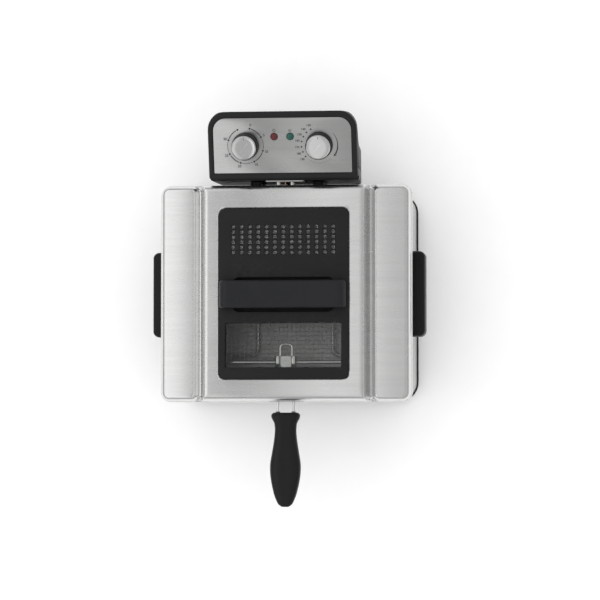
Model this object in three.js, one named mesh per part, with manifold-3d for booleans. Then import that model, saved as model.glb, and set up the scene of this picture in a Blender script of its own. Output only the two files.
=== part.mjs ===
// Electric deep fryer: box housing, lift-out oil tank, rear control unit with its heating
// element, frying basket with a pull-off handle, and a pressed lid with a vented insert.
// Millimetres, +Z up. The front of the fryer faces -Y, and the control unit stands at +Y.
// The origin is the centre of the footprint, on the table.
import * as THREE from 'three';
import { mergeVertices } from 'three/addons/utils/BufferGeometryUtils.js';
import Module from 'manifold-3d';

const wasm = await Module();
wasm.setup();

// ---------------------------------------------------------------- driving sizes
const HOUSING_W = 330;         // housing wrap, outside, left to right
const HOUSING_D = 282;         // housing wrap, outside, front to rear
const HOUSING_TOP = 150;       // rim of the housing above the table
const HOUSING_R = 24;          // upright corners of the housing
const SHEET = 1.6;             // sheet metal of housing, tank and lid
const FOOT_H = 6;
const SIDE_HANDLE_OUT = 20;    // side handles, how far they stand out
const SIDE_HANDLE_L = 115;
const TANK_MARGIN = 9;         // housing wrap to tank wall
const TANK_DEPTH = 120;        // rim to floor, outside
const LID_OVERHANG = 5;        // lid past the housing, each side
const WING_RISE = 13;          // side fields of the lid above its edge
const CENTRE_RISE = 29;        // middle field of the lid above its edge
const CENTRE_W = 212;          // flat top of the middle field
const INSERT_W = 174.8;        // black insert of the lid
const INSERT_D = 228;
const INSERT_Y = -1.8;         // middle of the insert, from the middle of the lid
const VENT_COLUMNS = 13;
const VENT_ROWS = 6;
const VENT_PITCH_Y = 6.9;
const VENT_R = 2.7;
const LID_HANDLE_D = 37;
const LID_HANDLE_H = 20.5;     // top of the strap above the insert
const WINDOW_D = 60;
const BASKET_SIDE_ROOM = 31;   // tank to basket, each side
const BASKET_END_ROOM = 40;    // tank to basket, front and rear: the element legs need the rear
const GRIP_L = 126;            // moulded grip of the basket handle
const GRIP_RISE = 3;           // grip slopes up by this many degrees
const FACE_W = 200;            // control face, left to right
const FACE_L = 92;             // control face along its slope
const FACE_TILT = 15;          // degrees above level
const FACE_RISE = 35;          // front edge of the control face above the housing rim
const KNOB_R = 18.2;
const KNOB_H = 16.7;
const KNOB_X = 49.5;           // knob axes, left and right of the middle
const KNOB_V = 45.5;           // knob axes, up the face from its front edge
const ELEMENT_R = 3.25;
const ELEMENT_GAP = 18.6;      // between the two legs of the element, centre to centre

// ---------------------------------------------------------------- fits
const GAP = 0.3;               // between pieces that rest on each other
const SLACK = 0.4;             // around rods and screws in their holes

const RIM_Z = HOUSING_TOP + GAP + SHEET;              // top of the tank rim
const FACE_FRONT_Z = HOUSING_TOP + FACE_RISE;
const RAIL_T = 1.2;                                   // sheet of the lid's rest rails
const LID_EDGE_Z = RIM_Z + GAP + RAIL_T + GAP + SHEET;
const SKIRT_Z = HOUSING_TOP - 4;                      // lower edge of the lid
const LID_W = HOUSING_W + 2 * LID_OVERHANG;
const LID_D = HOUSING_D + 2 * LID_OVERHANG;
const CENTRE_Z = LID_EDGE_Z + CENTRE_RISE;
const TANK_W = HOUSING_W - 2 * TANK_MARGIN;
const TANK_D = HOUSING_D - 2 * TANK_MARGIN;
const TANK_R = HOUSING_R - 5;
const BASKET_W = TANK_W - 2 * BASKET_SIDE_ROOM;
const BASKET_D = TANK_D - 2 * BASKET_END_ROOM;
const BASKET_H = TANK_DEPTH - 35;
const INSERT_Z = CENTRE_Z + GAP;                      // underside of the insert's flange
const INSERT_T = 3;
const INSERT_TOP = INSERT_Z + INSERT_T;
const WINDOW_W = INSERT_W - 18.8;
const WINDOW_Y = INSERT_Y - INSERT_D / 2 + WINDOW_D / 2 + 15.3;
const VENT_Y = INSERT_Y + INSERT_D / 2 - 41.7;
const VENT_PITCH_X = (INSERT_W - 40.4) / (VENT_COLUMNS - 1);
const LID_HANDLE_W = INSERT_W - 5.8;
const HANDLE_Y = -3;
const HEAD_Y = LID_D / 2 + 5;                         // front wall of the control unit
const PRONG_Z = RIM_Z + 4.6;                          // basket handle crosses the rim here
const PRONG_R = 2;
const PRONG_X = 10.6;
const LEG_Z = RIM_Z + 8.1;                            // element legs cross the rim here
const LEG_Y = TANK_D / 2 - 13;                        // element legs hang down here
const LEG_X = ELEMENT_GAP / 2;
const GRIP_Y = -LID_D / 2 - 14;                       // front end of the prongs, start of the grip
const TILT = THREE.MathUtils.degToRad(FACE_TILT);
const LIFT = THREE.MathUtils.degToRad(GRIP_RISE);
const HEAD_REAR = HEAD_Y + FACE_L * Math.cos(TILT);
const GRIP_END = 4;                                   // half height of the grip's blunt end
const FOOTPRINT_FRONT = GRIP_Y - GRIP_L * Math.cos(LIFT) - GRIP_END * Math.sin(LIFT);
const SHIFT_Y = -(FOOTPRINT_FRONT + HEAD_REAR) / 2;   // puts the footprint's centre on the origin

// ---------------------------------------------------------------- materials
const look = (color, roughness, metalness) =>
  new THREE.MeshStandardMaterial({ color, roughness, metalness });
const STEEL = look(0xc4c4c2, 0.34, 1);
const BRIGHT = look(0xdadada, 0.12, 1);
const BLACK = look(0x1c1c1d, 0.5, 0);
const GLOSS = look(0x242629, 0.25, 0);
const RUBBER = look(0x151515, 0.9, 0);
const GLASS = look(0xdfe6e6, 0.05, 0);
const RED = look(0x5a1418, 0.2, 0);
const GREEN = look(0x0f4a44, 0.2, 0);
const BRASS = look(0xa8823c, 0.35, 1);
const NATURAL = look(0xd8d2c0, 0.6, 0);

// ---------------------------------------------------------------- shape helpers
// A closed three.js geometry as a solid that can be cut and joined.
function solid(geometry) {
  geometry.deleteAttribute('normal');
  geometry.deleteAttribute('uv');
  const merged = mergeVertices(geometry, 1e-4);
  const p = merged.attributes.position.array;
  const tris = [];
  let volume = 0;
  for (let i = 0; i < merged.index.count; i += 3) {
    const [a, b, c] = [0, 1, 2].map((k) => merged.index.array[i + k]);
    if (a === b || b === c || a === c) continue;
    tris.push(a, b, c);
    const [A, B, C] = [a, b, c].map((k) => new THREE.Vector3().fromArray(p, 3 * k));
    volume += A.dot(B.cross(C));
  }
  if (volume < 0) for (let i = 0; i < tris.length; i += 3) tris.splice(i, 2, tris[i + 1], tris[i]);
  return new wasm.Manifold(new wasm.Mesh({
    numProp: 3, vertProperties: new Float32Array(p), triVerts: new Uint32Array(tris),
  }));
}
const join = (...parts) => parts.reduce((all, part) => all.add(part));

function roundRect(w, d, r, cx = 0, cy = 0) {
  const s = new THREE.Shape();
  const [x, y] = [w / 2, d / 2];
  s.moveTo(cx - x + r, cy - y);
  s.lineTo(cx + x - r, cy - y);
  s.absarc(cx + x - r, cy - y + r, r, -Math.PI / 2, 0);
  s.lineTo(cx + x, cy + y - r);
  s.absarc(cx + x - r, cy + y - r, r, 0, Math.PI / 2);
  s.lineTo(cx - x + r, cy + y);
  s.absarc(cx - x + r, cy + y - r, r, Math.PI / 2, Math.PI);
  s.lineTo(cx - x, cy - y + r);
  s.absarc(cx - x + r, cy - y + r, r, Math.PI, 1.5 * Math.PI);
  return s;
}
const polygon = (points) => new THREE.Shape(points.map(([x, y]) => new THREE.Vector2(x, y)));

// Upright prism between two heights. Larger corners get more facets.
const facets = (r) => (r < 5 ? 1 : r < 16 ? 2 : 3);
const prism = (shape, z0, z1, curveSegments = 3) => solid(
  new THREE.ExtrudeGeometry(shape, { depth: z1 - z0, bevelEnabled: false, curveSegments })
    .translate(0, 0, z0));
const plate = (w, d, r, z0, z1, cx = 0, cy = 0) =>
  prism(roundRect(w, d, r, cx, cy), z0, z1, facets(r));
const box = (x0, x1, y0, y1, z0, z1) => solid(
  new THREE.BoxGeometry(x1 - x0, y1 - y0, z1 - z0)
    .translate((x0 + x1) / 2, (y0 + y1) / 2, (z0 + z1) / 2));

// Block with every upper and lower edge rounded by e, then cut level at z0: only the top is soft.
function softTop(w, d, r, z0, z1, e, cx = 0, cy = 0, steps = 2) {
  const shape = roundRect(w - 2 * e, d - 2 * e, Math.max(r - e, 0.6), cx, cy);
  const geometry = new THREE.ExtrudeGeometry(shape, {
    depth: z1 - z0, bevelEnabled: true, bevelThickness: e, bevelSize: e,
    bevelSegments: steps, curveSegments: facets(r),
  }).translate(0, 0, z0 - e);
  return solid(geometry).trimByPlane([0, 0, 1], z0);
}
// The same with the bottom rounded and the top cut level.
const softBottom = (w, d, r, z0, z1, e, cx = 0, cy = 0, steps = 2) =>
  softTop(w, d, r, -z1, -z0, e, cx, cy, steps).mirror([0, 0, 1]);

// A side profile (y, z) run along X, and a front profile (x, z) run along Y.
const along = (points, length, basis) => solid(
  new THREE.ExtrudeGeometry(polygon(points), { depth: length, bevelEnabled: false })
    .applyMatrix4(new THREE.Matrix4().makeBasis(...basis)));
const AX = new THREE.Vector3(1, 0, 0);
const AY = new THREE.Vector3(0, 1, 0);
const AZ = new THREE.Vector3(0, 0, 1);
const alongX = (points, x0, x1) => along(points, x1 - x0, [AY, AZ, AX]).translate([x0, 0, 0]);
const alongY = (points, y0, y1) =>
  along(points, y1 - y0, [AX, AZ, AY.clone().negate()]).translate([0, y1, 0]);

// Points of an arc, for profiles.
const arc = (cx, cy, r, from, to, n = 4) => Array.from({ length: n + 1 }, (_, i) => {
  const a = THREE.MathUtils.degToRad(from + (to - from) * i / n);
  return [cx + r * Math.cos(a), cy + r * Math.sin(a)];
});
// Profile moved inwards by t, for a wall of even thickness. Points run anticlockwise.
function inset(points, t) {
  const n = points.length;
  const edges = points.map((p, i) => {
    const q = points[(i + 1) % n];
    const l = Math.hypot(q[0] - p[0], q[1] - p[1]);
    const d = [(q[0] - p[0]) / l, (q[1] - p[1]) / l];
    return { p: [p[0] - d[1] * t, p[1] + d[0] * t], d };
  });
  return edges.map((e, i) => {
    const f = edges[(i + n - 1) % n];
    const cross = f.d[0] * e.d[1] - f.d[1] * e.d[0];
    if (Math.abs(cross) < 1e-6) return e.p;
    const s = ((e.p[0] - f.p[0]) * e.d[1] - (e.p[1] - f.p[1]) * e.d[0]) / cross;
    return [f.p[0] + f.d[0] * s, f.p[1] + f.d[1] * s];
  });
}

// Turned piece: profile (radius, height) that starts and ends on the axis.
const turned = (points, sides = 14) => solid(
  new THREE.LatheGeometry(points.map(([r, z]) => new THREE.Vector2(r, z)), sides)
    .rotateX(Math.PI / 2));
// Round bar between two points.
function bar(p, q, r, sides = 8) {
  const [P, Q] = [new THREE.Vector3(...p), new THREE.Vector3(...q)];
  const d = Q.clone().sub(P);
  return solid(new THREE.CylinderGeometry(r, r, d.length(), sides)
    .applyQuaternion(new THREE.Quaternion().setFromUnitVectors(AY, d.clone().normalize()))
    .translate(...P.add(Q).multiplyScalar(0.5).toArray()));
}

// Bent wire or pipe: straight runs between corners, each corner rounded to radius r.
class BentPath extends THREE.Curve {
  constructor(corners, r, closed = false) {
    super();
    const c = corners.map((p) => new THREE.Vector3(...p));
    const n = c.length;
    this.points = [];
    c.forEach((p, i) => {
      if (!closed && (i === 0 || i === n - 1)) { this.points.push(p); return; }
      const a = c[(i + n - 1) % n].clone().sub(p).normalize();
      const b = c[(i + 1) % n].clone().sub(p).normalize();
      const half = a.angleTo(b) / 2;
      const reach = r / Math.tan(half);
      const centre = a.clone().add(b).normalize().multiplyScalar(r / Math.sin(half)).add(p);
      const from = a.multiplyScalar(reach).add(p).sub(centre);
      const to = b.multiplyScalar(reach).add(p).sub(centre);
      const turn = Math.PI - 2 * half;
      const steps = Math.max(2, Math.round(turn / 0.4));
      const axis = from.clone().cross(to).normalize();
      for (let k = 0; k <= steps; k++) {
        this.points.push(from.clone().applyAxisAngle(axis, turn * k / steps).add(centre));
      }
    });
    if (closed) {
      this.points.push(this.points[0].clone());
      this.closed = true;
      this.isCatmullRomCurve3 = true;
    }
    this.steps = this.points.length - 1;
  }
  getPoint(u, target = new THREE.Vector3()) {
    const i = Math.min(Math.floor(u * this.steps + 1e-9), this.steps - 1);
    return target.copy(this.points[i]).lerp(this.points[i + 1], u * this.steps - i);
  }
  getPointAt(u, target) { return this.getPoint(u, target); }
  getTangentAt(u, target = new THREE.Vector3()) {
    const i = Math.round(u * this.steps);
    const last = this.steps;
    const back = i > 0 ? i - 1 : (this.closed ? last - 1 : i);
    const next = i < last ? i + 1 : (this.closed ? 1 : i);
    const here = this.points[i];
    const a = here.clone().sub(this.points[back]).normalize();
    const b = this.points[next].clone().sub(here).normalize();
    return target.copy(a.add(b).normalize());
  }
}
function wire(corners, bend, r, sides = 6, closed = false) {
  const path = new BentPath(corners, bend, closed);
  const circle = Array.from({ length: sides }, (_, i) => {
    const a = 2 * Math.PI * i / sides;
    return [r * Math.cos(a), r * Math.sin(a)];
  });
  return solid(new THREE.ExtrudeGeometry(polygon(circle),
    { steps: path.steps, extrudePath: path, bevelEnabled: false }));
}

// ---------------------------------------------------------------- the assembly
const group = new THREE.Group();
const fryer = new THREE.Group();
fryer.position.y = SHIFT_Y;
group.add(fryer);
// Pieces of the control face are modelled flat: X across, Y up the face, Z out of it.
const face = new THREE.Group();
face.position.set(0, HEAD_Y, FACE_FRONT_Z);
face.rotation.x = TILT;
fryer.add(face);

function add(name, part, material, parent = fryer) {
  const m = part.getMesh();
  const geometry = new THREE.BufferGeometry();
  geometry.setAttribute('position', new THREE.BufferAttribute(new Float32Array(m.vertProperties), 3));
  geometry.setIndex(new THREE.BufferAttribute(new Uint32Array(m.triVerts), 1));
  geometry.computeVertexNormals();
  const mesh = new THREE.Mesh(geometry, material);
  mesh.name = name;
  parent.add(mesh);
}
const SIDES = [['left', -1], ['right', 1]];

// ---------------------------------------------------------------- housing
// Steel wrap with an inward rim that carries the tank.
const BASE_Z = FOOT_H + GAP;
const BASE_T = 3;
const BASE_LEDGE = BASE_Z + 8;
const WRAP_Z = BASE_LEDGE + GAP;
const SCREW_R = 1.5;
const HANDLE_SCREW_Z = HOUSING_TOP - 36;
const HANDLE_SCREW_Y = SIDE_HANDLE_L / 2 - 17.5;
const GUIDE_SCREW_X = 20;
const GUIDE_SCREW_Z = HOUSING_TOP - 45;
{
  const outer = plate(HOUSING_W, HOUSING_D, HOUSING_R, WRAP_Z, HOUSING_TOP);
  const inner = plate(HOUSING_W - 2 * SHEET, HOUSING_D - 2 * SHEET, HOUSING_R - SHEET,
    WRAP_Z - 1, HOUSING_TOP - SHEET);
  const mouth = plate(TANK_W + 4, TANK_D + 4, TANK_R + 2, HOUSING_TOP - 5, HOUSING_TOP + 1);
  let wrap = outer.subtract(inner).subtract(mouth);
  for (const [, s] of SIDES) {
    for (const t of [-1, 1]) {
      wrap = wrap.subtract(bar([s * (HOUSING_W / 2 - 5), t * HANDLE_SCREW_Y, HANDLE_SCREW_Z],
        [s * (HOUSING_W / 2 + 5), t * HANDLE_SCREW_Y, HANDLE_SCREW_Z], SCREW_R + SLACK));
    }
    wrap = wrap.subtract(bar([s * GUIDE_SCREW_X, HOUSING_D / 2 - 5, GUIDE_SCREW_Z],
      [s * GUIDE_SCREW_X, HOUSING_D / 2 + 5, GUIDE_SCREW_Z], SCREW_R + SLACK));
  }
  add('outer_housing', wrap, STEEL);
}

// Moulded base tray: ledge under the wrap, upstand inside it.
{
  const floor = plate(HOUSING_W + 4, HOUSING_D + 4, HOUSING_R + 2, BASE_Z, BASE_LEDGE);
  const in1 = HOUSING_W - 2 * SHEET - 1.4;
  const in2 = HOUSING_D - 2 * SHEET - 1.4;
  const upstand = plate(in1, in2, HOUSING_R - 3, BASE_LEDGE - 1, BASE_LEDGE + 10);
  const hollow = plate(in1 - 6, in2 - 6, HOUSING_R - 6, BASE_Z + BASE_T, BASE_LEDGE + 11);
  add('base_tray', join(floor, upstand).subtract(hollow), BLACK);
}
for (const [side, s] of SIDES) {
  for (const [end, t] of [['front', -1], ['rear', 1]]) {
    const foot = turned([[0, 0], [11, 0], [12.5, 1.5], [14, FOOT_H], [0, FOOT_H]], 12)
      .translate([s * (HOUSING_W / 2 - 32), t * (HOUSING_D / 2 - 32), 0]);
    add(`foot_${end}_${side}`, foot, RUBBER);
  }
}

// Side handles: moulded shells open underneath for the fingers, screwed on from inside.
const HANDLE_TOP = HOUSING_TOP - 20;
for (const [side, s] of SIDES) {
  const x0 = HOUSING_W / 2 + GAP;
  const x1 = HOUSING_W / 2 + SIDE_HANDLE_OUT;
  let shell = softTop(80, SIDE_HANDLE_L, 7, HANDLE_TOP - 30, HANDLE_TOP, 4, x1 - 40, 0)
    .trimByPlane([1, 0, 0], x0)
    .subtract(box(x0 + 4.5, x1 - 3.8, -SIDE_HANDLE_L / 2 + 5, SIDE_HANDLE_L / 2 - 5,
      HANDLE_TOP - 31, HANDLE_TOP - 5));
  for (const t of [-1, 1]) {
    shell = shell.subtract(bar([x0 - 1, t * HANDLE_SCREW_Y, HANDLE_SCREW_Z],
      [x0 + 6, t * HANDLE_SCREW_Y, HANDLE_SCREW_Z], SCREW_R + SLACK));
  }
  add(`side_handle_${side}`, s > 0 ? shell : shell.mirror([1, 0, 0]), BLACK);
  for (const [end, t] of [['front', -1], ['rear', 1]]) {
    const head = HOUSING_W / 2 - SHEET - GAP;
    const screw = join(
      bar([head - 1.8, 0, 0], [head, 0, 0], 3.2),
      bar([head - 0.5, 0, 0], [x0 + 4.2, 0, 0], SCREW_R))
      .translate([0, t * HANDLE_SCREW_Y, HANDLE_SCREW_Z]);
    add(`handle_screw_${end}_${side}`, s > 0 ? screw : screw.mirror([1, 0, 0]), STEEL);
  }
}

// Rear guide: plate with two upright T rails for the control unit and the interlock peg.
const RAIL_X = 42;
const GUIDE_Y = HOUSING_D / 2 + GAP;
const GUIDE_TOP = SKIRT_Z - 6;
const GUIDE_BOTTOM = HOUSING_TOP - 80;
const PEG_Z = HOUSING_TOP - 30;
const RAIL_FACE = GUIDE_Y + 2.6;                       // front of the rail heads
{
  let guide = box(-50, 50, GUIDE_Y, GUIDE_Y + 2, GUIDE_BOTTOM, GUIDE_TOP);
  for (const [, s] of SIDES) {
    guide = join(guide,
      box(s * RAIL_X - 1, s * RAIL_X + 1, GUIDE_Y + 1, RAIL_FACE + 3.2, GUIDE_BOTTOM, GUIDE_TOP),
      box(s * RAIL_X - 5, s * RAIL_X + 5, RAIL_FACE + 2.5, RAIL_FACE + 4.2, GUIDE_BOTTOM, GUIDE_TOP));
    guide = guide.subtract(bar([s * GUIDE_SCREW_X, GUIDE_Y - 1, GUIDE_SCREW_Z],
      [s * GUIDE_SCREW_X, GUIDE_Y + 5, GUIDE_SCREW_Z], SCREW_R + SLACK));
    const screw = join(
      bar([s * GUIDE_SCREW_X, GUIDE_Y + 2 + GAP, GUIDE_SCREW_Z],
        [s * GUIDE_SCREW_X, GUIDE_Y + 4, GUIDE_SCREW_Z], 3.2),
      bar([s * GUIDE_SCREW_X, GUIDE_Y + 3, GUIDE_SCREW_Z],
        [s * GUIDE_SCREW_X, GUIDE_Y - 6.5, GUIDE_SCREW_Z], SCREW_R));
    add(`guide_screw_${s < 0 ? 'left' : 'right'}`, screw, STEEL);
  }
  guide = guide.add(bar([0, GUIDE_Y + 1, PEG_Z], [0, HEAD_Y + 2.8, PEG_Z], 2.5));
  add('rear_guide', guide, BLACK);
}

// ---------------------------------------------------------------- oil tank
const TANK_FLOOR = HOUSING_TOP - TANK_DEPTH + SHEET;
{
  const body = softBottom(TANK_W, TANK_D, TANK_R, HOUSING_TOP - TANK_DEPTH, RIM_Z, 12);
  const rim = plate(TANK_W + 14, TANK_D + 14, TANK_R + 7, HOUSING_TOP + GAP, RIM_Z);
  const inside = softBottom(TANK_W - 2 * SHEET, TANK_D - 2 * SHEET, TANK_R - SHEET,
    TANK_FLOOR, RIM_Z + 2, 12 - SHEET);
  let tank = join(body, rim).subtract(inside);
  // Oil level marks pressed into the left wall.
  for (const [z, w] of [[TANK_FLOOR + 58, 44], [TANK_FLOOR + 42, 44]]) {
    tank = tank.add(box(-TANK_W / 2 + SHEET - 0.5, -TANK_W / 2 + SHEET + 0.8, -w / 2, w / 2, z, z + 1.4));
  }
  add('oil_tank', tank, STEEL);
}

// ---------------------------------------------------------------- control unit shell
const REAR_Z = FACE_FRONT_Z + FACE_L * Math.sin(TILT);
const SHELL_BOTTOM = HOUSING_TOP - 54;
const LEG = 52;                                       // depth of the leg that hangs behind the housing
const SHELL_T = 2.6;
const FACE_T = 4.6;                                   // thicker behind the face plate
const DRAFT = 4;
// Side profile, anticlockwise from the lower front corner.
const HEAD_PROFILE = [
  [HEAD_Y, SHELL_BOTTOM], [HEAD_Y + LEG - 4, SHELL_BOTTOM], [HEAD_Y + LEG, SHELL_BOTTOM + 4],
  [HEAD_Y + LEG + 3, FACE_FRONT_Z - 49], [HEAD_Y + LEG + 6, FACE_FRONT_Z - 33],
  [HEAD_Y + LEG + 11, FACE_FRONT_Z - 19], [HEAD_Y + LEG + 18, FACE_FRONT_Z - 7],
  [HEAD_Y + LEG + 26, FACE_FRONT_Z + 3], [HEAD_REAR, REAR_Z - 18], [HEAD_REAR, REAR_Z],
  [HEAD_Y, FACE_FRONT_Z]];

const faceToFryer = new THREE.Matrix4().makeTranslation(0, HEAD_Y, FACE_FRONT_Z)
  .multiply(new THREE.Matrix4().makeRotationX(TILT));
const onFace = (part) => part.transform(faceToFryer.elements);

// Outline of the face: square front corners, round rear corners.
function faceOutline(w, v0, v1, r) {
  const s = new THREE.Shape();
  s.moveTo(-w / 2, v0);
  s.lineTo(w / 2, v0);
  s.lineTo(w / 2, v1 - r);
  s.absarc(w / 2 - r, v1 - r, r, 0, Math.PI / 2);
  s.lineTo(-w / 2 + r, v1);
  s.absarc(-w / 2 + r, v1 - r, r, Math.PI / 2, Math.PI);
  return s;
}
function headForm(t) {
  const w = FACE_W / 2 - t;
  const side = alongX(inset(HEAD_PROFILE, t), -w, w);
  const plan = onFace(prism(faceOutline(2 * w, -80, FACE_L - t, 25 - t), -170, 20));
  const front = alongY([[-w + DRAFT, SHELL_BOTTOM - 1], [w - DRAFT, SHELL_BOTTOM - 1],
    [w, FACE_FRONT_Z - 5], [w, REAR_Z + 20], [-w, REAR_Z + 20], [-w, FACE_FRONT_Z - 5]],
  HEAD_Y - 20, HEAD_REAR + 20);
  return side.intersect(plan).intersect(front);
}
const PLATE_V0 = 8.6;
const PLATE_V1 = FACE_L - 9.2;
const PLATE_W = FACE_W - 15;
const INLET_Z = SHELL_BOTTOM + 20;
const RESET = [45, SHELL_BOTTOM + 34];
const COVER_SCREW = [84, SHELL_BOTTOM + 16];
{
  const hollow = headForm(SHELL_T).intersect(onFace(box(-200, 200, -200, 200, -250, -FACE_T)));
  const pocket = prism(faceOutline(PLATE_W + 0.6, PLATE_V0 - GAP, PLATE_V1 + GAP, 17.3), -2.4, 5, 2);
  const window = prism(faceOutline(PLATE_W - 8, PLATE_V0 + 4, PLATE_V1 - 4, 13), -12, 0, 2);
  const shell = headForm(0).subtract(hollow).subtract(onFace(pocket.add(window)));

  // The shell parts along an upright seam and then just under the face.
  const frontSide = (g) => join(
    box(-200, 200, HEAD_Y - 50, HEAD_Y + 15 + g, 0, 400),
    onFace(box(-200, 200, -50, 200, -9 - g, 50)));

  // Front shell: hook channels for the rails, slot for the interlock peg, opening for the element.
  const front0 = HEAD_Y + 0.6;
  const lip = RAIL_FACE - 0.3;
  let front = shell.intersect(frontSide(0));
  for (const [, s] of SIDES) {
    const c = s * RAIL_X;
    front = join(front,
      box(c - 7, c - 5.5, lip, front0, SHELL_BOTTOM, GUIDE_TOP + 2.2),
      box(c + 5.5, c + 7, lip, front0, SHELL_BOTTOM, GUIDE_TOP + 2.2),
      box(c - 6, c - 1.6, lip, lip + 2, SHELL_BOTTOM, GUIDE_TOP + 2.2),
      box(c + 1.6, c + 6, lip, lip + 2, SHELL_BOTTOM, GUIDE_TOP + 2.2),
      box(c - 6, c + 6, lip, front0, GUIDE_TOP + GAP, GUIDE_TOP + 2.2));
  }
  front = front
    .subtract(box(-5, 5, HEAD_Y - 5, HEAD_Y + 10, SHELL_BOTTOM - 1, PEG_Z + 5))
    .subtract(box(-19, 19, HEAD_Y - 5, HEAD_Y + 10, LEG_Z - 7, LEG_Z + 7));
  add('control_front_shell', front, BLACK);

  const y0 = HEAD_Y + LEG - 10;
  let rear = shell.subtract(frontSide(GAP));
  rear = rear
    .subtract(box(-22.3, 22.3, y0, y0 + 30, INLET_Z - 10.3, INLET_Z + 10.3))
    .subtract(bar([RESET[0], y0, RESET[1]], [RESET[0], y0 + 30, RESET[1]], 4.5, 16));
  for (const [, s] of SIDES) {
    rear = rear.subtract(bar([s * COVER_SCREW[0], y0, COVER_SCREW[1]],
      [s * COVER_SCREW[0], y0 + 30, COVER_SCREW[1]], SCREW_R + SLACK));
  }
  add('control_rear_cover', rear, BLACK);
}
for (const [side, s] of SIDES) {
  const y = HEAD_Y + LEG + 1.9;
  add(`cover_screw_${side}`, join(
    bar([s * COVER_SCREW[0], y, COVER_SCREW[1]], [s * COVER_SCREW[0], y + 1.8, COVER_SCREW[1]], 3.4, 12),
    bar([s * COVER_SCREW[0], y - 16, COVER_SCREW[1]], [s * COVER_SCREW[0], y + 0.5, COVER_SCREW[1]],
      SCREW_R)), STEEL);
}

// ---------------------------------------------------------------- control face
const LIGHT_X = 10.7;
const LIGHT_V = KNOB_V + 12.1;
const PLATE_Z0 = -2.1;
const PLATE_Z1 = -0.9;
{
  let sheet = prism(faceOutline(PLATE_W, PLATE_V0, PLATE_V1, 17), PLATE_Z0, PLATE_Z1, 2);
  for (const [, s] of SIDES) {
    sheet = sheet
      .subtract(bar([s * KNOB_X, KNOB_V, -9], [s * KNOB_X, KNOB_V, 9], 4.2, 12))
      .subtract(bar([s * LIGHT_X, LIGHT_V, -9], [s * LIGHT_X, LIGHT_V, 9], 5, 14));
  }
  add('face_plate', sheet, STEEL, face);
}
const MECH_TOP = PLATE_Z0 - GAP;
{
  // Clockwork timer: round can with a mounting strap.
  const can = turned([[0, -24], [14.5, -24], [16.5, -20], [17, -5], [6, -5], [6, MECH_TOP], [0, MECH_TOP]]);
  const strap = box(-22, 22, -5, 5, -6.5, -5);
  add('timer_movement', can.add(strap).translate([-KNOB_X, KNOB_V, 0]), STEEL, face);
  // Capillary thermostat: square base with a round diaphragm cup and two terminals.
  const base = plate(30, 30, 3, -20, -5);
  const neck = turned([[0, -8], [6, -8], [6, MECH_TOP], [0, MECH_TOP]]);
  const cup = turned([[0, -24], [11, -24], [13, -22], [13, -19], [0, -19]]);
  const tabs = join(box(-11, -5, 14, 21, -12, -11), box(5, 11, 14, 21, -12, -11));
  add('thermostat_body', join(base, neck, cup, tabs).translate([KNOB_X, KNOB_V, 0]), STEEL, face);
}
for (const [name, s, material] of [['red', -1, RED], ['green', 1, GREEN]]) {
  add(`${name}_light_lens`, turned([[0, -3], [4.6, -3], [4.6, 0.2], [3.6, 1], [0, 1.4]], 14)
    .translate([s * LIGHT_X, LIGHT_V, 0]), material, face);
  add(`${name}_neon_lamp`, turned([[0, -17], [2.4, -17], [2.4, -5], [1.2, -3 - GAP], [0, -3 - GAP]], 8)
    .translate([s * LIGHT_X, LIGHT_V, 0]), GLASS, face);
}
// Knobs: hollow moulded body, bright cap with an index notch, shaft pressed into the bore.
for (const [name, s] of [['timer', -1], ['thermostat', 1]]) {
  const place = (part) => part.translate([s * KNOB_X, KNOB_V, 0]);
  const z0 = PLATE_Z1 + 0.6;
  const top = z0 + KNOB_H;
  const shaftTop = top - 4.6;
  add(`${name}_shaft`, place(turned(
    [[0, PLATE_Z0 + 0.1], [3, PLATE_Z0 + 0.1], [3, shaftTop], [0, shaftTop]], 12)), BRASS, face);
  add(`${name}_knob`, place(turned([[0, shaftTop + GAP], [3.3, shaftTop + GAP], [3.3, z0], [KNOB_R, z0],
    [KNOB_R, z0 + 2.4], [KNOB_R - 0.7, top - 1.6], [KNOB_R - 1.8, top], [0, top]], 24)), BLACK, face);
  const cap = turned([[0, top + GAP], [KNOB_R - 2, top + GAP], [KNOB_R - 1.8, top + 0.9],
    [KNOB_R - 3.2, top + 2.3], [0, top + 2.3]], 24);
  add(`${name}_knob_cap`, place(cap.subtract(box(-0.8, 0.8, 8, 30, top + 1.5, top + 5))), BRIGHT, face);
}

// ---------------------------------------------------------------- inside and behind the control unit
{
  const body = box(-10, 10, HEAD_Y + 5.4, HEAD_Y + 15, PEG_Z - 8, PEG_Z + 8);
  const plunger = bar([0, HEAD_Y + 3.1, PEG_Z], [0, HEAD_Y + 6, PEG_Z], 1.6);
  add('interlock_switch', body.add(plunger), BLACK);

  const y1 = HEAD_Y + LEG + 1;
  let inlet = box(-22, 22, y1 - 16, y1, INLET_Z - 10, INLET_Z + 10)
    .subtract(box(-18, 18, y1 - 7, y1 + 1, INLET_Z - 6.5, INLET_Z + 6.5));
  for (const [, s] of SIDES) {
    inlet = inlet.add(bar([s * 8, y1 - 8, INLET_Z], [s * 8, y1 - 2, INLET_Z], 1.6));
  }
  add('power_inlet', inlet, GLOSS);

  const ry = HEAD_Y + LEG + 2;
  add('reset_button', bar([RESET[0], ry - 7.5, RESET[1]], [RESET[0], ry + 3, RESET[1]], 4, 16), RED);
  add('thermal_cutout', box(RESET[0] - 11, RESET[0] + 11, ry - 26, ry - 10.5, RESET[1] - 9, RESET[1] + 11),
    NATURAL);
}

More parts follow.
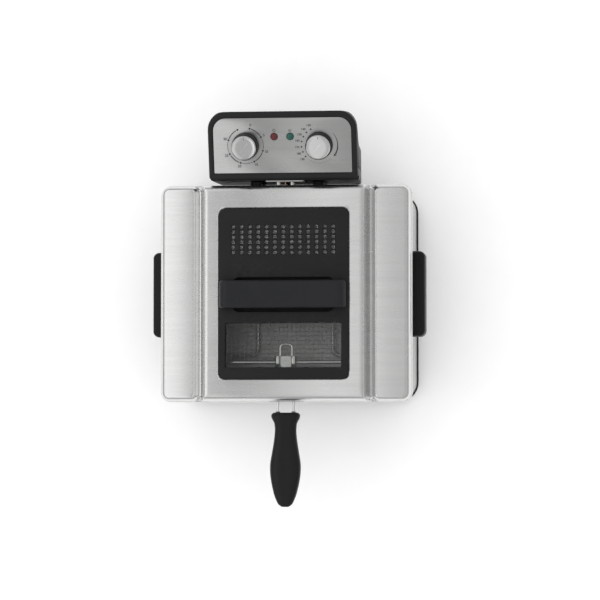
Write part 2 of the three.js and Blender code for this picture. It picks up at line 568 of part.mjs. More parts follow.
// ---------------------------------------------------------------- heating element
const ELEMENT_Z = TANK_FLOOR + 12.4;
const BULB_Z0 = ELEMENT_Z + 16;
const BULB_Z1 = BULB_Z0 + 66;
const CLIP_Z = BULB_Z1 - 22;
{
  const [w, f, m] = [TANK_W / 2 - 56, -TANK_D / 2 + 52, 52];
  const turn = LEG_Y - 49;
  const half = [[LEG_X, HEAD_Y + 8, LEG_Z], [LEG_X, LEG_Y, LEG_Z], [LEG_X, LEG_Y, ELEMENT_Z],
    [LEG_X, turn, ELEMENT_Z], [w, turn, ELEMENT_Z], [w, f, ELEMENT_Z], [m, f, ELEMENT_Z],
    [m, turn - 40, ELEMENT_Z]];
  const mirrored = half.map(([x, y, z]) => [-x, y, z]).reverse();
  add('heating_element', wire([...half, ...mirrored], 9, ELEMENT_R, 8), BRIGHT);
}
{
  let mount = box(-26, 26, HEAD_Y - 1.9, HEAD_Y - GAP, LEG_Z - 10.5, LEG_Z + 10.5);
  for (const [x, r] of [[-LEG_X, ELEMENT_R], [LEG_X, ELEMENT_R], [0, 1]]) {
    mount = mount.subtract(bar([x, HEAD_Y - 6, LEG_Z], [x, HEAD_Y + 6, LEG_Z], r + SLACK, 12));
  }
  add('element_plate', mount, STEEL);

  // Sensor bulb with its thin capillary pipe brazed on, run back into the control unit.
  const bulb = turned([[0, BULB_Z0], [1.6, BULB_Z0], [2.6, BULB_Z0 + 1.6], [2.6, BULB_Z1 - 3],
    [1, BULB_Z1], [0, BULB_Z1]], 12).translate([0, LEG_Y, 0]);
  const pipe = wire([[0, LEG_Y, BULB_Z1 - 4], [0, LEG_Y, LEG_Z], [0, HEAD_Y + 12, LEG_Z]], 5, 0.9, 6);
  add('thermostat_bulb', bulb.add(pipe), BRASS);

  let clip = box(-LEG_X - 6, LEG_X + 6, LEG_Y - 5.5, LEG_Y + 5.5, CLIP_Z, CLIP_Z + 1.4);
  for (const [x, r] of [[-LEG_X, ELEMENT_R], [LEG_X, ELEMENT_R], [0, 2.6]]) {
    clip = clip.subtract(bar([x, LEG_Y, CLIP_Z - 3], [x, LEG_Y, CLIP_Z + 4], r + SLACK, 12));
  }
  add('bulb_clip', clip, STEEL);
}

// ---------------------------------------------------------------- frying basket
const BASKET_TOP = RIM_Z - 8;
const BASKET_BOTTOM = BASKET_TOP - BASKET_H;
const BASKET_R = 22;
const RIM_WIRE_R = 2.4;
const RIM_WIRE_Z = BASKET_TOP + GAP + RIM_WIRE_R;
{
  const wall = 2.4;
  const tub = softBottom(BASKET_W, BASKET_D, BASKET_R, BASKET_BOTTOM, BASKET_TOP, 10)
    .subtract(softBottom(BASKET_W - 2 * wall, BASKET_D - 2 * wall, BASKET_R - wall,
      BASKET_BOTTOM + wall, BASKET_TOP + 5, 10 - wall));
  add('basket_mesh', tub, STEEL);

  const [x, y] = [BASKET_W / 2 + 0.5, BASKET_D / 2 + 0.5];
  add('basket_rim_wire', wire([[x, -y, RIM_WIRE_Z], [x, y, RIM_WIRE_Z], [-x, y, RIM_WIRE_Z],
    [-x, -y, RIM_WIRE_Z]], BASKET_R, RIM_WIRE_R, 8, true), BRIGHT);

  for (const [side, s] of SIDES) {
    const fx = s * (BASKET_W / 2 - 12);
    const top = BASKET_BOTTOM - GAP;
    const low = TANK_FLOOR + GAP + 2;
    add(`basket_foot_${side}`, wire([[fx, -58, top], [fx, -58, low], [fx, 58, low], [fx, 58, top]],
      6, 2), BRIGHT);
  }
}
// Front bracket: two sockets for the handle prongs on a small plate, with a loop inside the basket.
const FRONT_Y = -BASKET_D / 2;
{
  const z0 = RIM_WIRE_Z + RIM_WIRE_R + GAP;
  let bracket = box(-14, 14, FRONT_Y - 8, FRONT_Y + 8, z0, PRONG_Z - 2.6);
  for (const [, s] of SIDES) {
    bracket = bracket.add(bar([s * PRONG_X, FRONT_Y - 8, PRONG_Z], [s * PRONG_X, FRONT_Y + 8, PRONG_Z],
      3.6, 12));
  }
  for (const [, s] of SIDES) {
    bracket = bracket.subtract(bar([s * PRONG_X, FRONT_Y - 9, PRONG_Z],
      [s * PRONG_X, FRONT_Y + 9, PRONG_Z], PRONG_R + SLACK, 12));
  }
  const lz = z0 + 1.8;
  bracket = bracket.add(wire([[-8, FRONT_Y + 5, lz], [-8, FRONT_Y + 24, lz], [8, FRONT_Y + 24, lz],
    [8, FRONT_Y + 5, lz]], 5, 1.6));
  add('handle_bracket', bracket, BRIGHT);
}
// Pull-off handle: one bent wire with its closed end moulded into the grip.
{
  const bendY = GRIP_Y + 6;
  const out = (l) => [bendY - l * Math.cos(LIFT), PRONG_Z + l * Math.sin(LIFT)];
  const [ey, ez] = out(66);
  const path = [[-PRONG_X, FRONT_Y + 7, PRONG_Z], [-PRONG_X, bendY, PRONG_Z], [-PRONG_X, ey, ez],
    [PRONG_X, ey, ez], [PRONG_X, bendY, PRONG_Z], [PRONG_X, FRONT_Y + 7, PRONG_Z]];
  add('handle_wires', wire(path, 9, PRONG_R), BRIGHT);

  // Grip outline seen from above, from the flare at the wires to the rounded end.
  const shape = new THREE.Shape();
  const half = [[0, 17.4], [4, 19.5], [8, 18.6], [13, 15.8], [20, 14.6], [36, 15.4], [55, 18.4],
    [70, 20.6], [84, 20.2], [100, 17.4], [112, 14.2], [119, 11.2], [123.5, 8.4], [126, 4.6]]
    .map(([l, w]) => [l * GRIP_L / 126, w]);
  const e = 11 - GRIP_END;
  const rim = (w) => Math.max(w - e, 0.8);
  const end = (l) => Math.min(Math.max(l, e), GRIP_L - e);
  half.forEach(([l, w], i) => (i ? shape.lineTo(rim(w), -end(l)) : shape.moveTo(rim(w), -end(l))));
  [...half].reverse().forEach(([l, w]) => shape.lineTo(-rim(w), -end(l)));
  const grip = solid(new THREE.ExtrudeGeometry(shape, {
    depth: 22 - 2 * e, bevelEnabled: true, bevelThickness: e, bevelSize: e, bevelSegments: 3,
  }).translate(0, 0, -11 + e).rotateX(-LIFT).translate(0, GRIP_Y, PRONG_Z + 8 * Math.sin(LIFT)));
  add('handle_grip', grip.subtract(wire(path, 9, PRONG_R + SLACK)), BLACK);
}

// ---------------------------------------------------------------- lid
// The pressing as a solid form, shrunk by t so that the difference of two is the sheet.
const PAD_OUT = 2;
const STRIP_X = CENTRE_W / 2 + 7.5;                   // foot of the slope beside the middle field
const PAD_IN = STRIP_X + 2.8;
function lidForm(t) {
  const low = SKIRT_Z - (t > 0 ? 5 : 0);
  const edge = softTop(LID_W - 2 * t, LID_D - 2 * t, 14 - t, low, LID_EDGE_Z - t, 2.4 - t);
  const saddle = softTop(2 * (PAD_IN + 3 - t), LID_D - 2 * t - 3, 10 - t, low, LID_EDGE_Z + 7 - t, 6 - t);
  const padW = LID_W / 2 - PAD_OUT - PAD_IN;
  const padX = PAD_IN + padW / 2;
  const pad = softTop(padW - 2 * t, LID_D - 2 * PAD_OUT - 2 * t, 11 - t, LID_EDGE_Z - 4,
    LID_EDGE_Z + WING_RISE - t, 8 - t, padX, 0, t > 0 ? 2 : 3);
  const [c, s, h] = [CENTRE_W / 2, STRIP_X, CENTRE_Z];
  const across = alongY(inset([[-s, low], [s, low], [s, LID_EDGE_Z + 7], [c + 2, h - 3.4], [c + 0.6, h - 1],
    [c - 2.4, h], [-c + 2.4, h], [-c - 0.6, h - 1], [-c - 2, h - 3.4], [-s, LID_EDGE_Z + 7]], t),
  -LID_D, LID_D);
  const y = LID_D / 2 - 1.2 - t;
  const down = alongX([[-y, low], [y, low], ...arc(y - 12, h - 12 - t, 12, 0, 90, 4),
    ...arc(-y + 12, h - 12 - t, 12, 90, 180, 4)], -LID_W, LID_W);
  return join(edge, saddle, pad, pad.mirror([1, 0, 0]), across.intersect(down));
}
const OPENING_W = INSERT_W - 6.8;
const OPENING_D = INSERT_D - 6.5;
const TUBE_NOTCH = 34;
const PRONG_NOTCH = 17;
{
  const shell = lidForm(0).subtract(lidForm(SHEET))
    .subtract(plate(OPENING_W, OPENING_D, 7, CENTRE_Z - 12, CENTRE_Z + 5, 0, INSERT_Y))
    .subtract(box(-TUBE_NOTCH, TUBE_NOTCH, LID_D / 2 - 22, LID_D / 2 + 9, SKIRT_Z - 9, LEG_Z + 8))
    .subtract(box(-PRONG_NOTCH, PRONG_NOTCH, -LID_D / 2 - 9, -LID_D / 2 + 22, SKIRT_Z - 9, PRONG_Z + 5.5));
  add('lid_shell', shell, STEEL);
}
// Rest rails: the lid stands on the tank rim with these, and their lips centre it in the tank.
{
  const w = LID_W - 2 * SHEET - 0.8;
  const d = LID_D - 2 * SHEET - 0.8;
  const [z0, z1] = [RIM_Z + GAP, RIM_Z + GAP + RAIL_T];
  const [iw, id] = [TANK_W - 2 * SHEET - 3, TANK_D - 2 * SHEET - 3];
  const ring = join(plate(w, d, 12, z0, z1), plate(iw, id, TANK_R - 3, RIM_Z - 6, z1))
    .subtract(plate(iw - 2 * RAIL_T, id - 2 * RAIL_T, TANK_R - 4, RIM_Z - 9, z1 + 1));
  for (const [side, s] of SIDES) {
    const cut = TUBE_NOTCH + 4;
    add(`lid_rest_rail_${side}`, ring.intersect(box(s > 0 ? cut : -200 - w, s > 0 ? 200 + w : -cut,
      -d, d, 0, 300)), STEEL);
  }
}

// Black insert: flange on the lid, skirt through its opening, steam holes, window opening,
// finger dish under the strap handle and two rails for the filter cassette.
const DISH_W = LID_HANDLE_W - 31;
const DISH_D = LID_HANDLE_D + 9;
const CASSETTE_W = INSERT_W - 19.2;
const CASSETTE_D = 54;
const CASSETTE_Z = INSERT_Z - 18;                     // underside of the cassette
{
  const flange = softTop(INSERT_W, INSERT_D, 9, INSERT_Z, INSERT_TOP, 1.4, 0, INSERT_Y, 2);
  const skirt = plate(OPENING_W - 0.6, OPENING_D - 0.6, 6.7, INSERT_Z - 8, INSERT_Z + 1, 0, INSERT_Y)
    .subtract(plate(OPENING_W - 5.6, OPENING_D - 5.6, 4.2, INSERT_Z - 9, INSERT_Z, 0, INSERT_Y));
  const dish = plate(DISH_W + 4, DISH_D + 4, 12, INSERT_Z - 12.4, INSERT_Z + 1, 0, HANDLE_Y);
  const hollow = plate(DISH_W, DISH_D, 10, INSERT_Z - 10.4, INSERT_TOP + 5, 0, HANDLE_Y);
  let insert = join(flange, skirt, dish).subtract(hollow)
    .subtract(plate(WINDOW_W, WINDOW_D, 2, INSERT_Z - 5, INSERT_TOP + 5, 0, WINDOW_Y));
  for (const [, s] of SIDES) {
    const [a, b, c] = [CASSETTE_W / 2 + 0.6, CASSETTE_W / 2 + 3.4, CASSETTE_W / 2 - 3.4];
    const y0 = VENT_Y - CASSETTE_D / 2 - 19;
    const y1 = VENT_Y + CASSETTE_D / 2 + 1;
    const web = box(Math.min(s * a, s * b), Math.max(s * a, s * b), y0, y1,
      CASSETTE_Z - 2.4, INSERT_Z + 0.5);
    const shelf = box(Math.min(s * c, s * b), Math.max(s * c, s * b), y0, y1,
      CASSETTE_Z - 2.4, CASSETTE_Z - GAP);
    const x = s * (LID_HANDLE_W / 2 - 7);
    insert = join(insert, web, shelf)
      .subtract(bar([x, HANDLE_Y, INSERT_Z - 5], [x, HANDLE_Y, INSERT_TOP + 5], SCREW_R + SLACK));
  }
  const holes = [];
  for (let i = 0; i < VENT_COLUMNS; i++) {
    for (let j = 0; j < VENT_ROWS; j++) {
      const x = (i - (VENT_COLUMNS - 1) / 2) * VENT_PITCH_X;
      const y = VENT_Y + (j - (VENT_ROWS - 1) / 2) * VENT_PITCH_Y;
      holes.push(bar([x, y, INSERT_Z - 3], [x, y, INSERT_TOP + 3], VENT_R, 4));
    }
  }
  add('lid_insert', insert.subtract(join(...holes)), BLACK);
}
{
  const d = VENT_ROWS * VENT_PITCH_Y + 6;
  add('filter_mesh', plate(VENT_COLUMNS * VENT_PITCH_X + 5, d, 2, INSERT_Z - 1.5, INSERT_Z - GAP,
    0, VENT_Y), BRIGHT);

  // Cassette: open tray that holds the grease filter under the mesh.
  let tray = plate(CASSETTE_W, CASSETTE_D, 3, CASSETTE_Z, INSERT_Z - 2, 0, VENT_Y)
    .subtract(plate(CASSETTE_W - 12, CASSETTE_D - 4, 2, CASSETTE_Z + 1.6, INSERT_Z + 3, 0, VENT_Y));
  for (let i = -3; i <= 3; i++) {
    tray = tray.subtract(box(-CASSETTE_W / 2 + 16, CASSETTE_W / 2 - 16, VENT_Y + i * 6.8 - 1.4, VENT_Y + i * 6.8 + 1.4,
      CASSETTE_Z - 3, CASSETTE_Z + 5));
  }
  add('filter_cassette', tray, BLACK);

  // Window: pane under the insert, clamped by a frame.
  const [w, l] = [WINDOW_W + 5, WINDOW_D + 6];
  const paneZ = INSERT_Z - GAP;
  add('window_pane', plate(w, l, 2, paneZ - 2.4, paneZ, 0, WINDOW_Y), GLASS);
  add('window_frame', plate(w, l, 2, paneZ - 5, paneZ - 2.4 - GAP, 0, WINDOW_Y)
    .subtract(plate(w - 7, l - 8, 2, paneZ - 7, paneZ, 0, WINDOW_Y)), RUBBER);
}
// Strap handle of the lid, screwed on from below through the insert.
{
  const z0 = INSERT_TOP + GAP;
  const z1 = INSERT_TOP + LID_HANDLE_H;
  const [o, i] = [LID_HANDLE_W / 2, LID_HANDLE_W / 2 - 13];
  const strap = [[-o, z0], [-i, z0], [-i, z1 - 12.5], [-i + 5, z1 - 8], [i - 5, z1 - 8], [i, z1 - 12.5],
    [i, z0], [o, z0], ...arc(o - 11, z1 - 11, 11, 0, 90, 5), ...arc(-o + 11, z1 - 11, 11, 90, 180, 5)];
  const d = LID_HANDLE_D / 2;
  const section = [[-d, z0 - 1], [d, z0 - 1], ...arc(d - 4, z1 - 4, 4, 0, 90, 3),
    ...arc(-d + 4, z1 - 4, 4, 90, 180, 3)].map(([y, z]) => [y + HANDLE_Y, z]);
  let handle = alongY(strap, HANDLE_Y - d, HANDLE_Y + d).intersect(alongX(section, -o - 5, o + 5));
  for (const [side, s] of SIDES) {
    const x = s * (LID_HANDLE_W / 2 - 7);
    handle = handle.subtract(bar([x, HANDLE_Y, z0 - 2], [x, HANDLE_Y, z0 + 8], SCREW_R + SLACK));
    add(`lid_handle_screw_${side}`, join(
      bar([x, HANDLE_Y, INSERT_Z - 2], [x, HANDLE_Y, INSERT_Z - GAP], 3),
      bar([x, HANDLE_Y, INSERT_Z - 1], [x, HANDLE_Y, z0 + 7], SCREW_R)), STEEL);
  }
  add('lid_handle', handle, GLOSS);
}

export default group;
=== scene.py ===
import math

import bmesh
import bpy
import numpy as np
from mathutils import Matrix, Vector
from mathutils.geometry import tessellate_polygon


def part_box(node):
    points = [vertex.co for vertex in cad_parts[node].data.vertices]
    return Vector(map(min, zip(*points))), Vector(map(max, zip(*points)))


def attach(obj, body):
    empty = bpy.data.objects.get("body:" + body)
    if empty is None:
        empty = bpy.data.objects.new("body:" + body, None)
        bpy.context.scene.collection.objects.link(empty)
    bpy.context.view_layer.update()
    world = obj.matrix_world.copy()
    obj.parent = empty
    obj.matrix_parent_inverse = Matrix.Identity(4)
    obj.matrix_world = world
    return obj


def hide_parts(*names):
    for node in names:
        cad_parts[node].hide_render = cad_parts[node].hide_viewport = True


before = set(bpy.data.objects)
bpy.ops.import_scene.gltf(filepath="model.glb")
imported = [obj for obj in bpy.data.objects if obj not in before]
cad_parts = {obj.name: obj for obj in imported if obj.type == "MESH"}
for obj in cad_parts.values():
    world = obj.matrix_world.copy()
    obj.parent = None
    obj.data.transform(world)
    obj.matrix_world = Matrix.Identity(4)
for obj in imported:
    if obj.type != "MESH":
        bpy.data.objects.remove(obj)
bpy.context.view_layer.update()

# ================================================================ base tray
# A black moulded tray closes the housing from below. Its ledge stands a little proud of the steel
# wrap, and an upstand inside the wrap centres it. Screws through the feet hold it.
# All sizes below are in millimetres, with y measured from the middle of the housing.
housing_low, housing_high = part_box("outer_housing")
MIDDLE = (housing_low.y + housing_high.y) / 2 * 1000


def corners_of(node):
    """Lowest and highest corner of a CAD node, in millimetres from the housing's middle."""
    low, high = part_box(node)
    shift = np.array((0, MIDDLE, 0))
    return np.array(low) * 1000 - shift, np.array(high) * 1000 - shift


def outline(x0, x1, y0, y1, radii, steps=9):
    """Closed outline with a radius at each corner, as a function of how far it grows outwards.
    The corners are rear right, rear left, front left and front right."""
    if np.isscalar(radii):
        radii = (radii,) * 4

    def grown(by=0.0):
        points = []
        signs = ((1, 1), (-1, 1), (-1, -1), (1, -1))
        for turn, ((sx, sy), corner) in enumerate(zip(signs, radii)):
            r = max(corner + by, 0.12)
            a = np.linspace(0, np.pi / 2, steps) + turn * np.pi / 2
            cx = (x1 + by - r) if sx > 0 else (x0 - by + r)
            cy = (y1 + by - r) if sy > 0 else (y0 - by + r)
            points.append(np.c_[cx + r * np.cos(a), cy + r * np.sin(a)])
        return np.vstack(points)
    return grown


def level(loop, z):
    """An outline lifted to a height."""
    return np.c_[loop, np.full(len(loop), float(z))]


def rounding(radius, steps=5):
    """Pairs (inset, drop) from the start of a rounded edge on top to its end on the side."""
    a = np.linspace(0, np.pi / 2, steps)
    return [(radius * (1 - math.sin(t)), radius * (1 - math.cos(t))) for t in a]


def loft(rings, caps=True, closed=False):
    """Skin over a run of rings with equal counts."""
    n = len(rings[0])
    k = np.arange(n)
    faces = []
    for i in range(len(rings) if closed else len(rings) - 1):
        j = (i + 1) % len(rings)
        faces += np.c_[i * n + k, i * n + (k + 1) % n, j * n + (k + 1) % n, j * n + k].tolist()
    if caps and not closed:
        faces += [list(range(n))[::-1], list(range((len(rings) - 1) * n, len(rings) * n))]
    return np.vstack(rings), faces


def make_piece(name, shape, finish, body, nodes=(), sharp=38, soften=0.0):
    """A piece of the fryer from its points and faces, with its finish, body and material slot."""
    points, faces = shape
    mesh = bpy.data.meshes.new(name)
    mesh.from_pydata(((points + (0, MIDDLE, 0)) / 1000).tolist(), [], faces)
    work = bmesh.new()
    work.from_mesh(mesh)
    bmesh.ops.remove_doubles(work, verts=work.verts, dist=2e-6)
    bmesh.ops.dissolve_degenerate(work, edges=work.edges, dist=1e-6)
    bmesh.ops.recalc_face_normals(work, faces=work.faces)
    work.to_mesh(mesh)
    work.free()
    mesh.shade_smooth()
    mesh.set_sharp_from_angle(angle=math.radians(sharp))
    mesh.materials.append(finish)
    piece = bpy.data.objects.new(name, mesh)
    bpy.context.scene.collection.objects.link(piece)
    if soften:
        edge = piece.modifiers.new("softened_edges", "BEVEL")
        edge.width, edge.segments, edge.limit_method = soften / 1000, 2, "ANGLE"
        edge.angle_limit = math.radians(35)
        edge.harden_normals = True
    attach(piece, body)
    if nodes:
        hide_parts(*nodes)
    return piece


def together(*shapes):
    """Several closed shapes as one."""
    points, faces, start = [], [], 0
    for p, f in shapes:
        points.append(p)
        faces += [[i + start for i in face] for face in f]
        start += len(p)
    return np.vstack(points), faces


def wire_up(tree, kind, sockets, **settings):
    """A shader node with its settings, and its sockets wired or set."""
    made = tree.nodes.new(kind if kind.startswith("Node") else "ShaderNode" + kind)
    for key, value in settings.items():
        setattr(made, key, value)
    for key, value in sockets.items():
        if isinstance(value, bpy.types.NodeSocket):
            tree.links.new(value, made.inputs[key])
        else:
            made.inputs[key].default_value = value
    return made


def effect(name, inputs, outputs):
    """An empty effect group with its sockets. Returns the group, its input node and its output node."""
    group = bpy.data.node_groups.new(name, "ShaderNodeTree")
    for label, kind, value in inputs:
        socket = group.interface.new_socket(label, in_out="INPUT", socket_type="NodeSocket" + kind)
        socket.default_value = value
    for label in outputs:
        group.interface.new_socket(label, in_out="OUTPUT", socket_type="NodeSocketFloat")
    return group, group.nodes.new("NodeGroupInput"), group.nodes.new("NodeGroupOutput")


# Moulded skin: the fine spark-eroded texture of black mouldings, and their slight clouding.
moulded_skin, given, out = effect("moulded_skin", [("Fineness", "Float", 1500.0)], ["Height", "Cloud"])
place = wire_up(moulded_skin, "TexCoord", {})
pits = wire_up(moulded_skin, "TexNoise", {"Vector": place.outputs["Object"],
    "Scale": given.outputs["Fineness"], "Detail": 3.0, "Roughness": 0.6})
cloud = wire_up(moulded_skin, "TexNoise", {"Vector": place.outputs["Object"],
    "Scale": 26.0, "Detail": 3.0, "Roughness": 0.55})
moulded_skin.links.new(pits.outputs["Fac"], out.inputs["Height"])
moulded_skin.links.new(cloud.outputs["Fac"], out.inputs["Cloud"])

# Edge wear: where hands and cloths rub the raised edges, broken up in small spots.
edge_wear, given, out = effect("edge_wear", [("From", "Float", 0.53), ("To", "Float", 0.62)], ["Mask"])
place = wire_up(edge_wear, "TexCoord", {})
raised = wire_up(edge_wear, "NewGeometry", {})
ramp = wire_up(edge_wear, "MapRange", {"Value": raised.outputs["Pointiness"],
    "From Min": given.outputs["From"], "From Max": given.outputs["To"]})
spots = wire_up(edge_wear, "TexNoise", {"Vector": place.outputs["Object"], "Scale": 160.0, "Detail": 4.0})
broken = wire_up(edge_wear, "MapRange", {"Value": spots.outputs["Fac"], "From Min": 0.38, "From Max": 0.66})
worn = wire_up(edge_wear, "Math", {0: ramp.outputs["Result"], 1: broken.outputs["Result"]},
    operation="MULTIPLY")
edge_wear.links.new(worn.outputs["Value"], out.inputs["Mask"])

# Handling: faint smears and dust left by use, which change the gloss and a little of the colour.
handling, given, out = effect("handling", [("Size", "Float", 18.0)], ["Smear", "Dust"])
place = wire_up(handling, "TexCoord", {})
smears = wire_up(handling, "TexNoise", {"Vector": place.outputs["Object"],
    "Scale": given.outputs["Size"], "Detail": 4.0, "Roughness": 0.62, "Distortion": 0.8})
smear = wire_up(handling, "MapRange", {"Value": smears.outputs["Fac"], "From Min": 0.42, "From Max": 0.72})
specks = wire_up(handling, "TexNoise", {"Vector": place.outputs["Object"], "Scale": 900.0, "Detail": 2.0})
dust = wire_up(handling, "MapRange", {"Value": specks.outputs["Fac"], "From Min": 0.60, "From Max": 0.75})
handling.links.new(smear.outputs["Result"], out.inputs["Smear"])
handling.links.new(dust.outputs["Result"], out.inputs["Dust"])


def use_effect(tree, group, **sockets):
    """An effect group placed in a material, with this material's own values."""
    made = tree.nodes.new("ShaderNodeGroup")
    made.node_tree = group
    for label, value in sockets.items():
        if isinstance(value, bpy.types.NodeSocket):
            tree.links.new(value, made.inputs[label])
        else:
            made.inputs[label].default_value = value
    return made


def blend_colours(tree, mask, dark, light):
    """A colour between two, by a mask."""
    mixed = wire_up(tree, "Mix", {"Factor": mask}, data_type="RGBA")
    for socket, value in ((mixed.inputs[6], dark), (mixed.inputs[7], light)):
        if isinstance(value, bpy.types.NodeSocket):
            tree.links.new(value, socket)
        else:
            socket.default_value = (*value, 1)
    return mixed.outputs[2]


def sum_of(tree, start, *terms):
    """A value plus masks, each times its own weight."""
    total = start
    for mask, weight in terms:
        added = wire_up(tree, "Math", {0: mask, 1: weight, 2: total}, operation="MULTIPLY_ADD")
        total = added.outputs["Value"]
    return total


def new_finish(name):
    finish = bpy.data.materials.new(name)
    finish.use_nodes = True
    return finish, finish.node_tree, finish.node_tree.nodes["Principled BSDF"]


def moulding_finish(name, colour, worn, rough, fineness=1500.0, depth=0.02, specular=0.18):
    """Injection-moulded plastic or rubber: fine skin texture, clouding, rubbed edges and dust."""
    finish, tree, shader = new_finish(name)
    skin = use_effect(tree, moulded_skin, Fineness=fineness)
    wear = use_effect(tree, edge_wear)
    hands = use_effect(tree, handling, Size=22.0)
    clouded = blend_colours(tree, skin.outputs["Cloud"], [c * 0.82 for c in colour],
        [c * 1.18 for c in colour])
    rubbed = blend_colours(tree, wear.outputs["Mask"], clouded, worn)
    dusty = blend_colours(tree, sum_of(tree, 0.0, (hands.outputs["Dust"], 0.03)), rubbed, (0.32, 0.31, 0.30))
    tree.links.new(dusty, shader.inputs["Base Color"])
    tree.links.new(sum_of(tree, rough, (skin.outputs["Cloud"], 0.08), (hands.outputs["Smear"], -0.07),
        (wear.outputs["Mask"], -0.10)), shader.inputs["Roughness"])
    bump = wire_up(tree, "Bump", {"Height": skin.outputs["Height"], "Strength": 0.5,
        "Distance": depth / 1000})
    tree.links.new(bump.outputs["Normal"], shader.inputs["Normal"])
    shader.inputs["Specular IOR Level"].default_value = specular
    return finish


tray_plastic = moulding_finish("tray_plastic", (0.018, 0.018, 0.019), (0.06, 0.06, 0.062), 0.52, depth=0.05)
low, high = corners_of("base_tray")
TRAY_LEDGE = 8.0
TRAY_FLOOR = 3.0
tray_rim = outline(low[0], high[0], low[1], high[1], 26)
tray_stand = outline(low[0] + 4.3, high[0] - 4.3, low[1] + 4.3, high[1] - 4.3, 21)
tray_rings = [level(tray_rim(-g), low[2] + d) for g, d in rounding(2.2)]
tray_rings += [level(tray_rim(-g), low[2] + TRAY_LEDGE - d) for g, d in rounding(1.2)[::-1]]
tray_rings += [level(tray_stand(), low[2] + TRAY_LEDGE), level(tray_stand(), high[2] - 0.6),
    level(tray_stand(-0.6), high[2]), level(tray_stand(-3), high[2]),
    level(tray_stand(-3), low[2] + TRAY_FLOOR + 1), level(tray_stand(-4), low[2] + TRAY_FLOOR)]
make_piece("base_moulding", loft(tray_rings), tray_plastic, "housing", ["base_tray"])

# Stiffening ribs under the tray, moulded with it, between the feet.
RIB_W, RIB_H = 1.6, 1.1
rib_shapes = []
for y in np.linspace(low[1] + 62, high[1] - 62, 5):
    rib = outline(low[0] + 52, high[0] - 52, y - RIB_W / 2, y + RIB_W / 2, 0.7, 3)
    rib_shapes.append(loft([level(rib(), low[2] + 0.4), level(rib(), low[2] - RIB_H + 0.4),
        level(rib(-0.4), low[2] - RIB_H)]))
make_piece("base_ribs", together(*rib_shapes), tray_plastic, "housing")

# ================================================================ feet
# Four moulded rubber feet, pressed into the tray. Each flares to a collar against the tray and has
# a ring groove in its sole, so that it grips the worktop.
def turned(profile, cx=0.0, cy=0.0, sides=40):
    """Turned shape from (radius, height) pairs, bottom to top, round an upright axis."""
    a = np.linspace(0, 2 * np.pi, sides, endpoint=False)
    rings = [np.c_[cx + r * np.cos(a), cy + r * np.sin(a), np.full(sides, float(z))] for r, z in profile]
    return loft(rings)


foot_rubber = moulding_finish("foot_rubber", (0.012, 0.012, 0.012), (0.03, 0.03, 0.03), 0.78,
    fineness=900.0, depth=0.06, specular=0.3)
FOOT_PROFILE = [(5.0, 1.2), (5.6, 1.2), (6.2, 0.0), (10.2, 0.0), (11.2, 0.5), (12.1, 1.5),
    (12.9, 3.2), (13.5, 4.9), (14.0, 5.3), (14.0, 6.0)]
for side in ("front_left", "front_right", "rear_left", "rear_right"):
    low, high = corners_of("foot_" + side)
    centre = (low + high) / 2
    make_piece("rubber_foot_" + side, turned(FOOT_PROFILE, centre[0], centre[1]), foot_rubber,
        "housing", ["foot_" + side])

# ================================================================ housing wrap
# One sheet of 1.6 mm stainless steel bent round four corners and brushed along its length. Its top
# edge is rolled over and turned inwards as a shelf that carries the tank.
# Brushed grain: fine scratches drawn out along one direction, with broader streaks among them.
brushed_grain, given, out = effect("brushed_grain", [("Stretch", "Vector", (10.0, 600.0, 600.0))],
    ["Height", "Streak"])
place = wire_up(brushed_grain, "TexCoord", {})
drawn = wire_up(brushed_grain, "VectorMath", {0: place.outputs["Object"], 1: given.outputs["Stretch"]},
    operation="MULTIPLY")
scratches = wire_up(brushed_grain, "TexNoise", {"Vector": drawn.outputs["Vector"], "Scale": 1.0,
    "Detail": 5.0, "Roughness": 0.72})
broad = wire_up(brushed_grain, "TexNoise", {"Vector": drawn.outputs["Vector"], "Scale": 0.22,
    "Detail": 3.0, "Roughness": 0.6})
brushed_grain.links.new(scratches.outputs["Fac"], out.inputs["Height"])
brushed_grain.links.new(broad.outputs["Fac"], out.inputs["Streak"])


def brushed_finish(name, colour, rough, stretch, depth=0.012, strength=0.35):
    """Brushed sheet metal: drawn grain in colour, gloss and relief, polished edges and light smears."""
    finish, tree, shader = new_finish(name)
    grain = use_effect(tree, brushed_grain, Stretch=stretch)
    wear = use_effect(tree, edge_wear, From=0.54, To=0.64)
    hands = use_effect(tree, handling, Size=9.0)
    streaked = blend_colours(tree, grain.outputs["Streak"], [c * 0.93 for c in colour],
        [min(c * 1.07, 1) for c in colour])
    scratched = blend_colours(tree, sum_of(tree, 0.0, (grain.outputs["Height"], 0.30)), streaked,
        [c * 0.80 for c in colour])
    polished = blend_colours(tree, sum_of(tree, 0.0, (wear.outputs["Mask"], 0.5)), scratched,
        (0.86, 0.86, 0.86))
    tree.links.new(polished, shader.inputs["Base Color"])
    shader.inputs["Metallic"].default_value = 1.0
    tree.links.new(sum_of(tree, rough - 0.06, (grain.outputs["Height"], 0.12), (hands.outputs["Smear"], 0.05),
        (wear.outputs["Mask"], -0.12)), shader.inputs["Roughness"])
    bump = wire_up(tree, "Bump", {"Height": grain.outputs["Height"], "Strength": strength,
        "Distance": depth / 1000})
    tree.links.new(bump.outputs["Normal"], shader.inputs["Normal"])
    return finish


